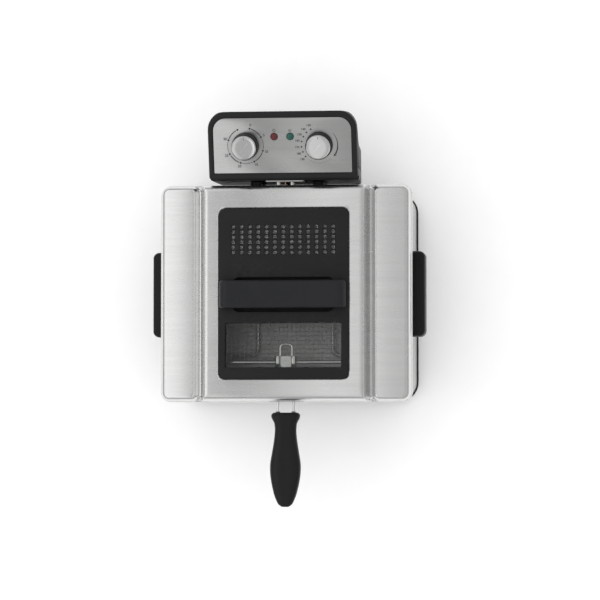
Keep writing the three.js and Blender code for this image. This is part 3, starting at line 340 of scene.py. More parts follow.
SHEET = 1.6
housing_steel = brushed_finish("housing_steel", (0.57, 0.57, 0.565), 0.32, (14.0, 14.0, 700.0), strength=0.5)
low, high = corners_of("outer_housing")
HOUSING_R = 24.0
wrap = outline(low[0], high[0], low[1], high[1], HOUSING_R, 13)
shelf = outline(low[0] + 7, high[0] - 7, low[1] + 7, high[1] - 7, HOUSING_R - 3, 13)
wrap_rings = [level(wrap(-0.3), low[2]), level(wrap(), low[2] + 0.3), level(wrap(), (low[2] + high[2]) / 2)]
wrap_rings += [level(wrap(-g), high[2] - d) for g, d in rounding(2.0, 6)[::-1]]
wrap_rings += [level(shelf(0.3), high[2]), level(shelf(), high[2] - 0.3), level(shelf(), high[2] - SHEET),
    level(wrap(-SHEET - 0.6), high[2] - SHEET), level(wrap(-SHEET), high[2] - SHEET - 0.6),
    level(wrap(-SHEET), low[2])]
make_piece("housing_wrap", loft(wrap_rings, closed=True), housing_steel, "housing",
    ["outer_housing"])

# ================================================================ side handles
# Two hollow black mouldings, open underneath for the fingers, each held by two screws from inside
# the housing. A row of shallow ribs inside the hollow gives grip.
handle_plastic = moulding_finish("handle_plastic", (0.006, 0.006, 0.0062), (0.03, 0.03, 0.031), 0.40,
    fineness=1300.0, depth=0.03)
for side, s in (("left", -1), ("right", 1)):
    low, high = corners_of("side_handle_" + side)
    inner, outer = sorted((abs(low[0]), abs(high[0])))
    shell = outline(inner - 8, outer, low[1], high[1], 8)
    pocket = outline(inner + 4.5, outer - 3.8, low[1] + 5, high[1] - 5, 3.5)
    rings = [level(shell(-g), high[2] - d) for g, d in rounding(5.0, 7)]
    rings += [level(shell(), low[2] + 0.9), level(shell(-0.9), low[2])]
    for ring in rings:
        ring[:, 0] = np.maximum(ring[:, 0], inner)
    rings += [level(pocket(0.9), low[2]), level(pocket(), low[2] + 0.9), level(pocket(), high[2] - 6.5),
        level(pocket(-1.5), high[2] - 5)]
    ribs = []
    for y in np.linspace(low[1] + 14, high[1] - 14, 13):
        ridge = outline(outer - 4.2, outer - 3.2, y - 1.1, y + 1.1, 0.4, 3)
        ribs.append(loft([level(ridge(), low[2] + 3), level(ridge(), high[2] - 8)]))
    points, faces = together(loft(rings), *ribs)
    make_piece("finger_handle_" + side, (points * (s, 1, 1), faces), handle_plastic, "housing",
        ["side_handle_" + side])

screw_steel = brushed_finish("screw_steel", (0.62, 0.62, 0.61), 0.30, (300.0, 300.0, 300.0), strength=0.2)


def refinish(node, finish, soften=0.0):
    """A CAD node that keeps its shape gets its real finish, and edges that catch the light."""
    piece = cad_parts[node]
    piece.data.materials.clear()
    piece.data.materials.append(finish)
    if soften:
        edge = piece.modifiers.new("softened_edges", "BEVEL")
        edge.width, edge.segments, edge.limit_method = soften / 1000, 2, "ANGLE"
        edge.angle_limit = math.radians(40)
    return piece


for name in ("handle_screw_front_left", "handle_screw_front_right", "handle_screw_rear_left",
             "handle_screw_rear_right", "guide_screw_left", "guide_screw_right",
             "lid_handle_screw_left", "lid_handle_screw_right"):
    refinish(name, screw_steel, 0.2)

# ================================================================ rear guide
# A moulded plate screwed to the back of the housing. Its two upright T rails carry the control
# unit, and the peg in the middle presses the interlock switch inside it.
refinish("rear_guide", tray_plastic, 0.35)

# ================================================================ oil tank
# A deep-drawn stainless pan that lifts out by its rim. The floor blends into the walls with a
# large radius, and two level lines are pressed into the left wall.
tank_steel = brushed_finish("tank_steel", (0.50, 0.50, 0.49), 0.30, (40.0, 40.0, 40.0), strength=0.12)
low, high = corners_of("oil_tank")
TANK_RIM = 7.0
TANK_R = 19.0
FLOOR_R = 12.0
pan = outline(low[0] + TANK_RIM, high[0] - TANK_RIM, low[1] + TANK_RIM, high[1] - TANK_RIM, TANK_R, 11)
rings = [level(pan(-g), low[2] + d) for g, d in rounding(FLOOR_R, 8)]
rings += [level(pan(), high[2] - SHEET - 2), level(pan(1), high[2] - SHEET),
    level(pan(TANK_RIM - 0.5), high[2] - SHEET),
    level(pan(TANK_RIM), high[2] - SHEET + 0.5), level(pan(TANK_RIM), high[2] - 0.5),
    level(pan(TANK_RIM - 0.5), high[2])]
rings += [level(pan(-SHEET + g), high[2] - d) for g, d in [(2.5, 0), (1.3, 0.3), (0.4, 1.1), (0, 2.4)]]
rings += [level(pan(-SHEET - g), low[2] + SHEET + d) for g, d in rounding(FLOOR_R - SHEET, 8)[::-1]]
tank_shape = [loft(rings)]
TANK_FLOOR = low[2] + SHEET
for height in (42, 58):
    line = outline(low[0] + TANK_RIM + SHEET - 0.5, low[0] + TANK_RIM + SHEET + 0.8, -22, 22, 0.6, 3)
    tank_shape.append(loft([level(line(-0.3), TANK_FLOOR + height), level(line(), TANK_FLOOR + height + 0.4),
        level(line(), TANK_FLOOR + height + 1.0), level(line(-0.3), TANK_FLOOR + height + 1.4)]))
make_piece("tank_pan", together(*tank_shape), tank_steel, "tank", ["oil_tank"])

# ================================================================ control unit shell
# A black moulded head that hangs behind the housing on the rear guide. The front shell carries the
# bezel and the face; the rear cover closes it with two screws. The seam runs up each flank and
# then along under the bezel. Known fault: the front wall is closed where the CAD has a slot for
# the interlock peg, so the peg passes through it.
FACE_TILT = math.radians(15)
HEAD_Y = 151.0
FACE_FRONT_Z = corners_of("outer_housing")[1][2] + 35
FACE_W, FACE_L = 200.0, 92.0
SHELL_BOTTOM = corners_of("control_front_shell")[0][2]
DRAFT = 4.0
BEZEL_R = 25.0
SEAM_Y = HEAD_Y + 15
SEAM_DROP = 9.0
SEAM_GAP = 0.35
HEAD_WALL = 2.2


def on_face(points):
    """Points (across, up the face, out of it) as places on the fryer."""
    u, v, n = points.T
    c, s = math.cos(FACE_TILT), math.sin(FACE_TILT)
    return np.c_[u, HEAD_Y + v * c - n * s, FACE_FRONT_Z + v * s + n * c]


# Rear line of the side profile (y, z), from the bottom of the leg out to the overhanging head.
flank = np.array([(199, 96), (201.8, 97.2), (203, 100), (204.2, 112), (205.2, 124), (206.3, 136),
    (207.6, 144), (209.6, 152), (212.3, 160), (216.1, 168), (221.0, 176), (226.5, 183), (232.0, 188.2),
    (236.3, 191.2)])
flank[:, 1] += SHELL_BOTTOM - 96
rings = []
head_rear = HEAD_Y + FACE_L * math.cos(FACE_TILT)
for i, (y, z) in enumerate(flank):
    t = i / (len(flank) - 1)
    front_z = SHELL_BOTTOM + (FACE_FRONT_Z - 14 - SHELL_BOTTOM) * t ** 1.2 if i > 2 else SHELL_BOTTOM
    width = FACE_W / 2 - DRAFT * (FACE_FRONT_Z - 5 - (front_z + z) / 2) / (FACE_FRONT_Z - 5 - SHELL_BOTTOM)
    inset = (3.0, 0.9, 0.0)[i] if i < 3 else 0.0
    r = 8 + 15 * t ** 2
    plan = outline(-width + inset, width - inset, HEAD_Y + min(inset, 1.2), y, (r, r, 2.5, 2.5), 11)()
    share = (plan[:, 1] - HEAD_Y) / (y - HEAD_Y)
    rings.append(np.c_[plan, front_z + (z - front_z) * share])
for drop in (13.0, 8.0, 4.0):
    plan = outline(-FACE_W / 2 + drop * 0.01, FACE_W / 2 - drop * 0.01, 0, FACE_L,
        (BEZEL_R, BEZEL_R, 3.5, 3.5), 11)()
    ring = on_face(level(plan, -drop))
    ring[:, 1] = np.clip(ring[:, 1], HEAD_Y, head_rear)
    rings.append(ring)
bezel = outline(-FACE_W / 2, FACE_W / 2, 0, FACE_L, (BEZEL_R, BEZEL_R, 3.5, 3.5), 11)
PLATE_W, PLATE_V0, PLATE_V1 = 185.0, 8.6, 82.8
pocket = outline(-PLATE_W / 2 - 0.3, PLATE_W / 2 + 0.3, PLATE_V0 - 0.3, PLATE_V1 + 0.3,
    (17.3, 17.3, 1.2, 1.2), 11)
shell_top = [on_face(level(bezel(-g), -d)) for g, d in rounding(3.2, 7)[::-1]]
for ring in shell_top:
    ring[:, 1] = np.minimum(ring[:, 1], head_rear)
POCKET_STEPS = ((1.4, 0.0), (0.5, -0.35), (0.0, -1.1), (0.0, -2.4), (-4.3, -2.4), (-4.3, -7.0))
shell_top += [on_face(level(pocket(by), height)) for by, height in POCKET_STEPS]
head_shape = loft(rings + shell_top, caps=False)
bottom = [list(range(len(rings[0])))[::-1]]
head_shape = (head_shape[0], head_shape[1] + bottom)

shell_plastic = moulding_finish("shell_plastic", (0.012, 0.012, 0.0125), (0.04, 0.04, 0.041), 0.42,
    fineness=1700.0, depth=0.035)


def part_of_head(name, keep_front, nodes):
    """The front or rear half of the head, cut along its seam and given the wall of a moulding."""
    gap = 0.0 if keep_front else SEAM_GAP
    points, faces = head_shape
    mesh = bpy.data.meshes.new(name)
    mesh.from_pydata(points.tolist(), [], faces)
    work = bmesh.new()
    work.from_mesh(mesh)
    bmesh.ops.recalc_face_normals(work, faces=work.faces)
    if work.faces[:][0].normal.z > 0 and work.faces[:][-1].normal.z > 0:
        bmesh.ops.reverse_faces(work, faces=work.faces)
    face_normal = (0, -math.sin(FACE_TILT), math.cos(FACE_TILT))
    seam_point = on_face(np.array([(0.0, 0.0, -SEAM_DROP - gap)]))[0]
    for point, normal in (((0, SEAM_Y + gap, 0), (0, 1, 0)), (seam_point, face_normal)):
        bmesh.ops.bisect_plane(work, geom=work.verts[:] + work.edges[:] + work.faces[:],
            plane_co=point, plane_no=normal, dist=1e-4)
    away = []
    for f in work.faces:
        c = np.array(f.calc_center_median())
        ahead = c[1] < SEAM_Y + gap or float((c - seam_point) @ np.array(face_normal)) > 0
        if ahead != keep_front:
            away.append(f)
    bmesh.ops.delete(work, geom=away, context="FACES")
    work.to_mesh(mesh)
    work.free()
    points = np.array([v.co for v in mesh.vertices])
    faces = [list(p.vertices) for p in mesh.polygons]
    bpy.data.meshes.remove(mesh)
    piece = make_piece(name, (points, faces), shell_plastic, "control_unit", nodes)
    wall = piece.modifiers.new("wall", "SOLIDIFY")
    wall.thickness, wall.offset, wall.use_even_offset = HEAD_WALL / 1000, -1, True
    return piece


part_of_head("control_bezel_shell", True, ["control_front_shell"])
back_cover = part_of_head("control_back_cover", False, ["control_rear_cover"])

# Hook channels moulded on the front shell: they slide down over the T rails of the rear guide.
RAIL_X = 42.0
GUIDE_TOP = corners_of("rear_guide")[1][2]
LIP_Y = HEAD_Y - 7.4
HOOK_RISE = 2.2
hook_shapes = []
for c in (-RAIL_X, RAIL_X):
    for x0, x1, y1 in ((c - 7, c - 5.5, HEAD_Y + 1), (c + 5.5, c + 7, HEAD_Y + 1),
                       (c - 6, c - 1.6, LIP_Y + 2), (c + 1.6, c + 6, LIP_Y + 2)):
        side = outline(x0, x1, LIP_Y, y1, 0.3, 3)
        hook_shapes.append(loft([level(side(), SHELL_BOTTOM + 0.5), level(side(), GUIDE_TOP + HOOK_RISE)]))
    cap = outline(c - 6, c + 6, LIP_Y, HEAD_Y + 1, 0.3, 3)
    hook_shapes.append(loft([level(cap(), GUIDE_TOP + 0.4), level(cap(), GUIDE_TOP + HOOK_RISE)]))
make_piece("guide_hooks", together(*hook_shapes), shell_plastic, "control_unit")

# ================================================================ face plate
# Brushed sheet set into a pocket of the bezel, with holes for the two shafts and the two lights.
# The dial marks are printed on it in dark ink.
def slab(outer, holes, bottom, top, edge=0.25, hole_edge=0.2, steps=3):
    """A flat piece with holes. Its top edge and the holes' top edges are rounded."""
    rounds, hole_rounds = rounding(edge, steps), rounding(hole_edge, 2)
    loops = [[level(outer(-g), top - d) for g, d in rounds] + [level(outer(), bottom)]]
    loops += [[level(hole(g), top - d) for g, d in hole_rounds] + [level(hole(), bottom)] for hole in holes]
    points, faces, start = [], [], 0
    first, last = [], []
    for run in loops:
        n = len(run[0])
        k = np.arange(n)
        first.append(start + k)
        last.append(start + (len(run) - 1) * n + k)
        for i in range(len(run) - 1):
            a, b = start + i * n, start + (i + 1) * n
            faces += np.c_[a + k, a + (k + 1) % n, b + (k + 1) % n, b + k].tolist()
        points += run
        start += len(run) * n
    points = np.vstack(points)
    for ends in (first, last):
        index = np.concatenate(ends)
        veins = [[(*points[i][:2], 0.0) for i in end] for end in ends]
        faces += [[int(index[i]) for i in tri] for tri in tessellate_polygon(veins)]
    return points, faces


def circle(cx, cy, radius, sides=24):
    """A round outline, as a function of how far it grows."""
    a = np.linspace(0, 2 * np.pi, sides, endpoint=False)
    return lambda by=0.0: np.c_[cx + (radius + by) * np.cos(a), cy + (radius + by) * np.sin(a)]


def placed(shape, where):
    return where(shape[0]), shape[1]


KNOB_X, KNOB_V = 49.5, 45.5
LIGHT_X, LIGHT_V = 10.7, 57.6
PLATE_TOP = -0.9
face_metal = brushed_finish("face_metal", (0.46, 0.46, 0.455), 0.27, (16.0, 620.0, 620.0), strength=0.25)
plate = outline(-PLATE_W / 2, PLATE_W / 2, PLATE_V0, PLATE_V1, (17, 17, 1.2, 1.2), 11)
plate_holes = [circle(-KNOB_X, KNOB_V, 4.2), circle(KNOB_X, KNOB_V, 4.2),
    circle(-LIGHT_X, LIGHT_V, 5), circle(LIGHT_X, LIGHT_V, 5)]
make_piece("dial_plate", placed(slab(plate, plate_holes, -2.1, PLATE_TOP), on_face), face_metal,
    "control_unit", ["face_plate"])

INK, INK_DEPTH = PLATE_TOP + 0.05, 0.06
print_ink, tree, shader = new_finish("print_ink")
skin = use_effect(tree, moulded_skin, Fineness=2600.0)
tree.links.new(blend_colours(tree, skin.outputs["Cloud"], (0.008, 0.008, 0.009), (0.016, 0.016, 0.017)),
    shader.inputs["Base Color"])
tree.links.new(sum_of(tree, 0.42, (skin.outputs["Height"], 0.14)), shader.inputs["Roughness"])


def dot(u, v, r):
    ring = circle(u, v, r, 14)
    return loft([level(ring(), INK - INK_DEPTH), level(ring(), INK), level(ring(-0.06), INK + 0.01)])


def arc_band(cx, cy, r, a0, a1, w0, w1=None):
    """A printed arc, from one width to another. Angles in degrees."""
    w1 = w0 if w1 is None else w1
    n = max(4, int(abs(a1 - a0) / 4) + 1)
    a = np.radians(np.linspace(a0, a1, n))
    w = np.linspace(w0, w1, n) / 2
    inner = np.c_[cx + (r - w) * np.cos(a), cy + (r - w) * np.sin(a)]
    outer = np.c_[cx + (r + w) * np.cos(a), cy + (r + w) * np.sin(a)]
    loop = np.vstack([inner, outer[::-1]])
    rings = [level(loop, INK - INK_DEPTH), level(loop, INK)]
    points, faces = loft(rings, caps=False)
    m = len(loop)
    for base in (0, m):
        faces += [[base + i, base + i + 1, base + m - 2 - i, base + m - 1 - i] for i in range(n - 1)]
    return points, faces


def numeral(text, u, v, height):
    """A printed number as a thin flat shape, centred on a place."""
    curve = bpy.data.curves.new("numeral", "FONT")
    curve.body, curve.size, curve.align_x, curve.align_y = text, height * 1.38, "CENTER", "CENTER"
    curve.extrude, curve.resolution_u, curve.offset = 0.03, 3, 0.09
    holder = bpy.data.objects.new("numeral", curve)
    mesh = bpy.data.meshes.new_from_object(holder)
    points = np.array([p.co for p in mesh.vertices]) + (u, v, INK - 0.02)
    faces = [list(p.vertices) for p in mesh.polygons]
    bpy.data.objects.remove(holder)
    bpy.data.meshes.remove(mesh)
    bpy.data.curves.remove(curve)
    return points, faces


def polar(cx, r, degrees):
    a = math.radians(degrees)
    return cx + r * math.cos(a), KNOB_V + r * math.sin(a)


DIAL_R = 24.0
marks = []
TIMER_START, TIMER_STEP = 75.0, 45.7
for k, minutes in enumerate(("0", "5", "10", "15", "20", "25", "30", "")):
    at = TIMER_START - TIMER_STEP * k
    marks.append(dot(*polar(-KNOB_X, DIAL_R, at), 1.35))
    if minutes:
        marks.append(numeral(minutes, *polar(-KNOB_X, DIAL_R + 4.8, at), 3.6))
    if k < 7:
        marks.append(arc_band(-KNOB_X, KNOB_V, DIAL_R, at - 5, at - TIMER_STEP + 5, 0.6 if k % 2 else 1.15))
make_piece("timer_marks", placed(together(*marks), on_face), print_ink, "control_unit",
    sharp=30)

marks = []
HEAT_START, HEAT_STEP = 117.0, 17.0
for k in range(7):
    at = HEAT_START + HEAT_STEP * k
    marks.append(dot(*polar(KNOB_X, DIAL_R, at), 1.15))
    marks.append(numeral(str(130 + 10 * k), *polar(KNOB_X, DIAL_R + 6.0, at), 3.0))
marks.append(arc_band(KNOB_X, KNOB_V, DIAL_R + 0.6, 42, -30, 0.35, 1.9))
u, v = polar(KNOB_X, DIAL_R + 0.6, -31)
tip_u, tip_v = polar(KNOB_X, DIAL_R + 0.6, -39)
side_u, side_v = math.cos(math.radians(-31)) * 1.9, math.sin(math.radians(-31)) * 1.9
arrow = np.array([(u - side_u, v - side_v), (tip_u, tip_v), (u + side_u, v + side_v)])
marks.append(loft([level(arrow, INK - INK_DEPTH), level(arrow, INK)]))
for at in np.arange(-52, -134, -6.0):
    marks.append(dot(*polar(KNOB_X, DIAL_R, at), 0.42))
make_piece("thermostat_marks", placed(together(*marks), on_face), print_ink, "control_unit",
    sharp=30)

# Plain signs over the lights: a ring with a stroke for power, and a ring with a dot for heat.
marks = []
for s in (-1, 1):
    u, v = s * LIGHT_X, LIGHT_V + 8.4
    marks.append(arc_band(u, v, 1.7, 120, 420, 0.6))
    if s < 0:
        stroke = outline(u - 0.3, u + 0.3, v + 0.2, v + 2.5, 0.1, 2)
        marks.append(loft([level(stroke(), INK - INK_DEPTH), level(stroke(), INK)]))
    else:
        marks.append(dot(u, v, 0.55))
make_piece("light_signs", placed(together(*marks), on_face), print_ink, "control_unit",
    sharp=30)

# ================================================================ lights
# Two moulded lenses pushed through the plate, each with fine rings under a domed face, over a neon
# lamp in the head.
def lens_finish(name, colour, painted_glow):
    """Clear coloured plastic with its colour clouded at random, and a faint painted emission that stands in
    for light from the lamp behind it.
    """
    finish, tree, shader = new_finish(name)
    hands = use_effect(tree, handling, Size=60.0)
    skin = use_effect(tree, moulded_skin, Fineness=500.0)
    tree.links.new(blend_colours(tree, skin.outputs["Cloud"], [c * 0.7 for c in colour],
        [c * 1.25 for c in colour]),
        shader.inputs["Base Color"])
    tree.links.new(sum_of(tree, 0.10, (hands.outputs["Smear"], 0.10)), shader.inputs["Roughness"])
    # Painted light: a faint emission makes the lens shine as if lit by the lamp behind it, though that lamp
    # gives no light.
    tree.links.new(blend_colours(tree, skin.outputs["Height"], [c * 0.6 for c in painted_glow], painted_glow),
        shader.inputs["Emission Color"])
    shader.inputs["Emission Strength"].default_value = 0.06
    shader.inputs["Coat Weight"].default_value = 0.15
    shader.inputs["Coat Roughness"].default_value = 0.05
    return finish


LENS_PROFILE = [(3.9, -3.0), (4.3, -2.6), (4.3, -0.6), (4.6, -0.5), (4.6, 0.05), (4.35, 0.35), (3.9, 0.5),
    (3.5, 0.42), (3.3, 0.55), (2.9, 0.95), (2.3, 0.88), (2.1, 1.1), (1.5, 1.3), (0.9, 1.22), (0.6, 1.36),
    (0.05, 1.4)]
# The last colour of each light is its painted emission, standing in for the lit lamp behind the lens.
for name, s, colour, painted_glow in (("red", -1, (0.075, 0.006, 0.007), (0.35, 0.02, 0.015)),
                              ("green", 1, (0.004, 0.060, 0.050), (0.01, 0.25, 0.19))):
    make_piece(name + "_lens", placed(turned(LENS_PROFILE, s * LIGHT_X, LIGHT_V, 32), on_face),
        lens_finish(name + "_lens_plastic", colour, painted_glow), "control_unit",
        [name + "_light_lens"],
        sharp=60)

# ================================================================ knobs
# A hollow black moulding with fine flutes, pressed on a brass shaft, and a spun aluminium cap with
# a polished bevel glued on top. An inlaid line on the cap points at the dial.
def spun_finish(name, centre, colour, rough):
    """Metal turned on a lathe: fine rings round its axis, with polished edges."""
    finish, tree, shader = new_finish(name)
    place = wire_up(tree, "TexCoord", {})
    off = wire_up(tree, "VectorMath", {0: place.outputs["Object"], 1: centre}, operation="SUBTRACT")
    axis = (0.0, -math.sin(FACE_TILT), math.cos(FACE_TILT))
    cross = wire_up(tree, "VectorMath", {0: off.outputs["Vector"], 1: axis}, operation="CROSS_PRODUCT")
    radius = wire_up(tree, "VectorMath", {0: cross.outputs["Vector"]}, operation="LENGTH")
    rings = wire_up(tree, "TexNoise", {"W": wire_up(tree, "Math", {0: radius.outputs["Value"], 1: 900.0},
        operation="MULTIPLY").outputs["Value"], "Scale": 1.0, "Detail": 3.0}, noise_dimensions="1D")
    wear = use_effect(tree, edge_wear, From=0.54, To=0.62)
    hands = use_effect(tree, handling, Size=40.0)
    ringed = blend_colours(tree, rings.outputs["Fac"], [c * 0.94 for c in colour],
        [min(1, c * 1.04) for c in colour])
    tree.links.new(blend_colours(tree, wear.outputs["Mask"], ringed, (0.9, 0.9, 0.9)),
        shader.inputs["Base Color"])
    shader.inputs["Metallic"].default_value = 1.0
    tree.links.new(sum_of(tree, rough, (rings.outputs["Fac"], 0.03), (hands.outputs["Smear"], 0.02)),
        shader.inputs["Roughness"])
    bump = wire_up(tree, "Bump", {"Height": rings.outputs["Fac"], "Strength": 0.05, "Distance": 0.00001})
    tree.links.new(bump.outputs["Normal"], shader.inputs["Normal"])
    return finish


KNOB_R, KNOB_H = 18.2, 16.7
KNOB_BASE = PLATE_TOP + 0.6
KNOB_TOP = KNOB_BASE + KNOB_H
knob_plastic = moulding_finish("knob_plastic", (0.010, 0.010, 0.0105), (0.03, 0.03, 0.031), 0.34, depth=0.02)
pointer_ink = moulding_finish("pointer_ink", (0.02, 0.02, 0.022), (0.03, 0.03, 0.03), 0.5, depth=0.01)
shaft_brass = brushed_finish("shaft_brass", (0.66, 0.47, 0.20), 0.30, (300.0, 300.0, 300.0), strength=0.2)
FLUTES, FLUTE_DEPTH = 60, 0.16
for dial, cx in (("timer", -KNOB_X), ("thermostat", KNOB_X)):
    a = np.linspace(0, 2 * np.pi, FLUTES * 4, endpoint=False)
    flute = FLUTE_DEPTH * np.cos(a * FLUTES)
    rings = []
    for r, z, deep in ((3.3, KNOB_TOP - 4.3, 0), (3.3, KNOB_BASE, 0), (KNOB_R - 1.2, KNOB_BASE, 0),
                       (KNOB_R - 0.2, KNOB_BASE + 0.2, 0), (KNOB_R, KNOB_BASE + 0.7, 0),
                       (KNOB_R, KNOB_BASE + 2.0, 0),
                       (KNOB_R - 0.35, KNOB_BASE + 2.5, 0), (KNOB_R - 0.45, KNOB_BASE + 3.0, 1),
                       (KNOB_R - 0.85, KNOB_TOP - 2.4, 1), (KNOB_R - 1.0, KNOB_TOP - 1.9, 0),
                       (KNOB_R - 1.15, KNOB_TOP - 0.9, 0), (KNOB_R - 1.5, KNOB_TOP - 0.3, 0),
                       (KNOB_R - 2.0, KNOB_TOP, 0)):
        rr = r + flute * deep
        rings.append(np.c_[cx + rr * np.cos(a), KNOB_V + rr * np.sin(a), np.full(len(a), z)])
    make_piece(dial + "_knob_body", placed(loft(rings), on_face), knob_plastic, dial + "_dial",
        [dial + "_knob"])
    t = KNOB_TOP - 0.02
    cap = [(1.0, t), (KNOB_R - 2.2, t), (KNOB_R - 1.85, t + 0.25), (KNOB_R - 1.8, t + 0.75),
        (KNOB_R - 1.95, t + 1.0),
        (KNOB_R - 3.0, t + 2.15), (KNOB_R - 3.25, t + 2.3), (KNOB_R - 3.6, t + 2.3), (KNOB_R - 4.0, t + 2.16),
        (10.0, t + 2.06), (6.0, t + 2.0), (0.05, t + 1.98)]
    centre = tuple(((on_face(np.array([(cx, KNOB_V, 0.0)])) + (0, MIDDLE, 0)) / 1000)[0])
    make_piece(dial + "_cap", placed(turned(cap, cx, KNOB_V, 96), on_face),
        spun_finish(dial + "_cap_metal", centre, (0.66, 0.66, 0.655), 0.22), dial + "_dial",
        [dial + "_knob_cap"], sharp=28)
    line = outline(cx - 0.3, cx + 0.3, KNOB_V + 10.6, KNOB_V + KNOB_R - 4.1, 0.28, 5)
    make_piece(dial + "_pointer", placed(loft([level(line(), t + 1.9), level(line(), t + 2.16),
        level(line(-0.12), t + 2.22)]), on_face), pointer_ink, dial + "_dial")
    refinish(dial + "_shaft", shaft_brass)

# ================================================================ parts inside the control unit
# Clockwork timer and capillary thermostat screwed behind the face, neon lamps behind the lenses, the
# interlock switch on its peg, and the thermal cut-out with its reset button.
mech_steel = brushed_finish("mech_steel", (0.55, 0.55, 0.53), 0.38, (200.0, 200.0, 200.0), strength=0.2)
cream_plastic = moulding_finish("cream_plastic", (0.62, 0.57, 0.45), (0.70, 0.66, 0.56), 0.5)
lamp_glass = moulding_finish("lamp_glass", (0.70, 0.68, 0.64), (0.8, 0.8, 0.8), 0.12, depth=0.005)
for name in ("timer_movement", "thermostat_body"):
    refinish(name, mech_steel, 0.2)
for name in ("red_neon_lamp", "green_neon_lamp"):
    refinish(name, lamp_glass)
refinish("interlock_switch", tray_plastic, 0.2)
refinish("thermal_cutout", cream_plastic, 0.3)


def stood_up(shape, x, y, z, way=1):
    """A shape drawn lying flat, stood up at a place. It faces the rear, or the front with way -1."""
    points, faces = shape
    return np.c_[x + points[:, 0], y + way * points[:, 2], z + points[:, 1]], faces


# Reset button: a red moulded pin that stands out of the rear cover beside the inlet.
reset_red = moulding_finish("reset_red", (0.30, 0.018, 0.016), (0.42, 0.05, 0.045), 0.34, depth=0.02)
low, high = corners_of("reset_button")
radius = (high[0] - low[0]) / 2
pin_l = high[1] - low[1]
profile = [(radius - 0.5, 0.0), (radius, 0.5), (radius, pin_l - 0.8), (radius - 0.25, pin_l - 0.25),
    (radius - 0.9, pin_l), (0.05, pin_l - 0.35)]
cx, cz = (low[0] + high[0]) / 2, (low[2] + high[2]) / 2
make_piece("reset_pin", stood_up(turned(profile, 0, 0, 32), cx, low[1], cz), reset_red,
    "reset", ["reset_button"])

# Power inlet: a glossy socket with two round pins, flush with the rear cover.
low, high = corners_of("power_inlet")
inlet_plastic = moulding_finish("inlet_plastic", (0.015, 0.015, 0.016), (0.05, 0.05, 0.05), 0.28, depth=0.015)
frame_loop = outline(low[0], high[0], low[2], high[2], 2.0, 5)
well_loop = outline(low[0] + 4, high[0] - 4, low[2] + 3.5, high[2] - 3.5, 2.5, 5)
depth = high[1] - low[1]
rings = [level(frame_loop(), 0.0), level(frame_loop(), depth - 0.6), level(frame_loop(-0.6), depth),
    level(well_loop(0.4), depth), level(well_loop(), depth - 0.4), level(well_loop(), depth - 7)]
make_piece("mains_inlet", stood_up(loft(rings), 0, low[1], 0), inlet_plastic,
    "control_unit", ["power_inlet"])
PIN_R, PIN_X = 1.6, 8.0
pin = [(PIN_R, depth - 7.2), (PIN_R, depth - 2.6), (PIN_R - 0.15, depth - 2.2), (PIN_R - 0.6, depth - 1.9),
    (0.05, depth - 1.8)]
pins = [turned(pin, x, (low[2] + high[2]) / 2, 20) for x in (-PIN_X, PIN_X)]
make_piece("inlet_pins", stood_up(together(*pins), 0, low[1], 0), shaft_brass,
    "control_unit")

# The openings in the rear cover that the button and the socket come through.
reset_low, reset_high = corners_of("reset_button")
OPENING_GAP, CUT_REACH = 0.35, 12.0
button_hole = circle((reset_low[0] + reset_high[0]) / 2, (reset_low[2] + reset_high[2]) / 2,
    (reset_high[0] - reset_low[0]) / 2 + OPENING_GAP, 32)
CUT_MARGIN = 1.0
cutters = []
work = bmesh.new()
work.from_mesh(back_cover.data)
for hole, y in ((button_hole(), reset_high[1]), (frame_loop(OPENING_GAP), high[1])):
    # Cuts round each opening keep the rubbed look of its edge from spreading over the wall.
    for corner, spread in ((hole.min(axis=0), -CUT_MARGIN), (hole.max(axis=0), CUT_MARGIN)):
        for place, axis in zip((corner + spread) / 1000, ((1, 0, 0), (0, 0, 1))):
            bmesh.ops.bisect_plane(work, geom=work.verts[:] + work.edges[:] + work.faces[:],
                plane_co=[place * a for a in axis], plane_no=axis, dist=1e-7)
    points, faces = loft([level(hole, y - CUT_REACH), level(hole, y + CUT_REACH)])
    cutters.append((np.c_[points[:, 0], points[:, 2], points[:, 1]], faces))
work.to_mesh(back_cover.data)
work.free()
points, faces = together(*cutters)
cutter_mesh = bpy.data.meshes.new("cover_cutter")
cutter_mesh.from_pydata(((points + (0, MIDDLE, 0)) / 1000).tolist(), [], faces)
work = bmesh.new()
work.from_mesh(cutter_mesh)
bmesh.ops.recalc_face_normals(work, faces=work.faces)
work.to_mesh(cutter_mesh)
work.free()
cutter = bpy.data.objects.new("cover_cutter", cutter_mesh)
bpy.context.scene.collection.objects.link(cutter)
cut = back_cover.modifiers.new("openings", "BOOLEAN")
cut.operation, cut.solver, cut.object = "DIFFERENCE", "EXACT", cutter
bpy.context.view_layer.update()
cut_cover = bpy.data.meshes.new_from_object(back_cover.evaluated_get(bpy.context.evaluated_depsgraph_get()))
back_cover.modifiers.clear()
back_cover.data = cut_cover
bpy.data.objects.remove(cutter)
bpy.data.meshes.remove(cutter_mesh)

# Cover screws: pan heads with a hexagon socket.
for side in ("left", "right"):
    low, high = corners_of("cover_screw_" + side)
    cx, cz, r = (low[0] + high[0]) / 2, (low[2] + high[2]) / 2, (high[0] - low[0]) / 2
    a = np.linspace(0, 2 * np.pi, 36, endpoint=False)
    hexagon = 1.55 / np.cos((a % (np.pi / 3)) - np.pi / 6)
    y = high[1] - low[1]
    rings = [np.c_[q * np.cos(a), q * np.sin(a), np.full(36, z)] for q, z in
        ((1.5, 0.0), (1.5, y - 1.8), (r, y - 1.8), (r, y - 0.9), (r - 0.35, y - 0.35), (r - 1.0, y - 0.05),
        (2.2, y))]
    rings += [np.c_[hexagon * np.cos(a), hexagon * np.sin(a), np.full(36, z)] for z in (y - 0.02, y - 1.2)]
    make_piece("cover_screw_head_" + side, stood_up(loft(rings), cx, low[1], cz),
        screw_steel, "control_unit", ["cover_screw_" + side])

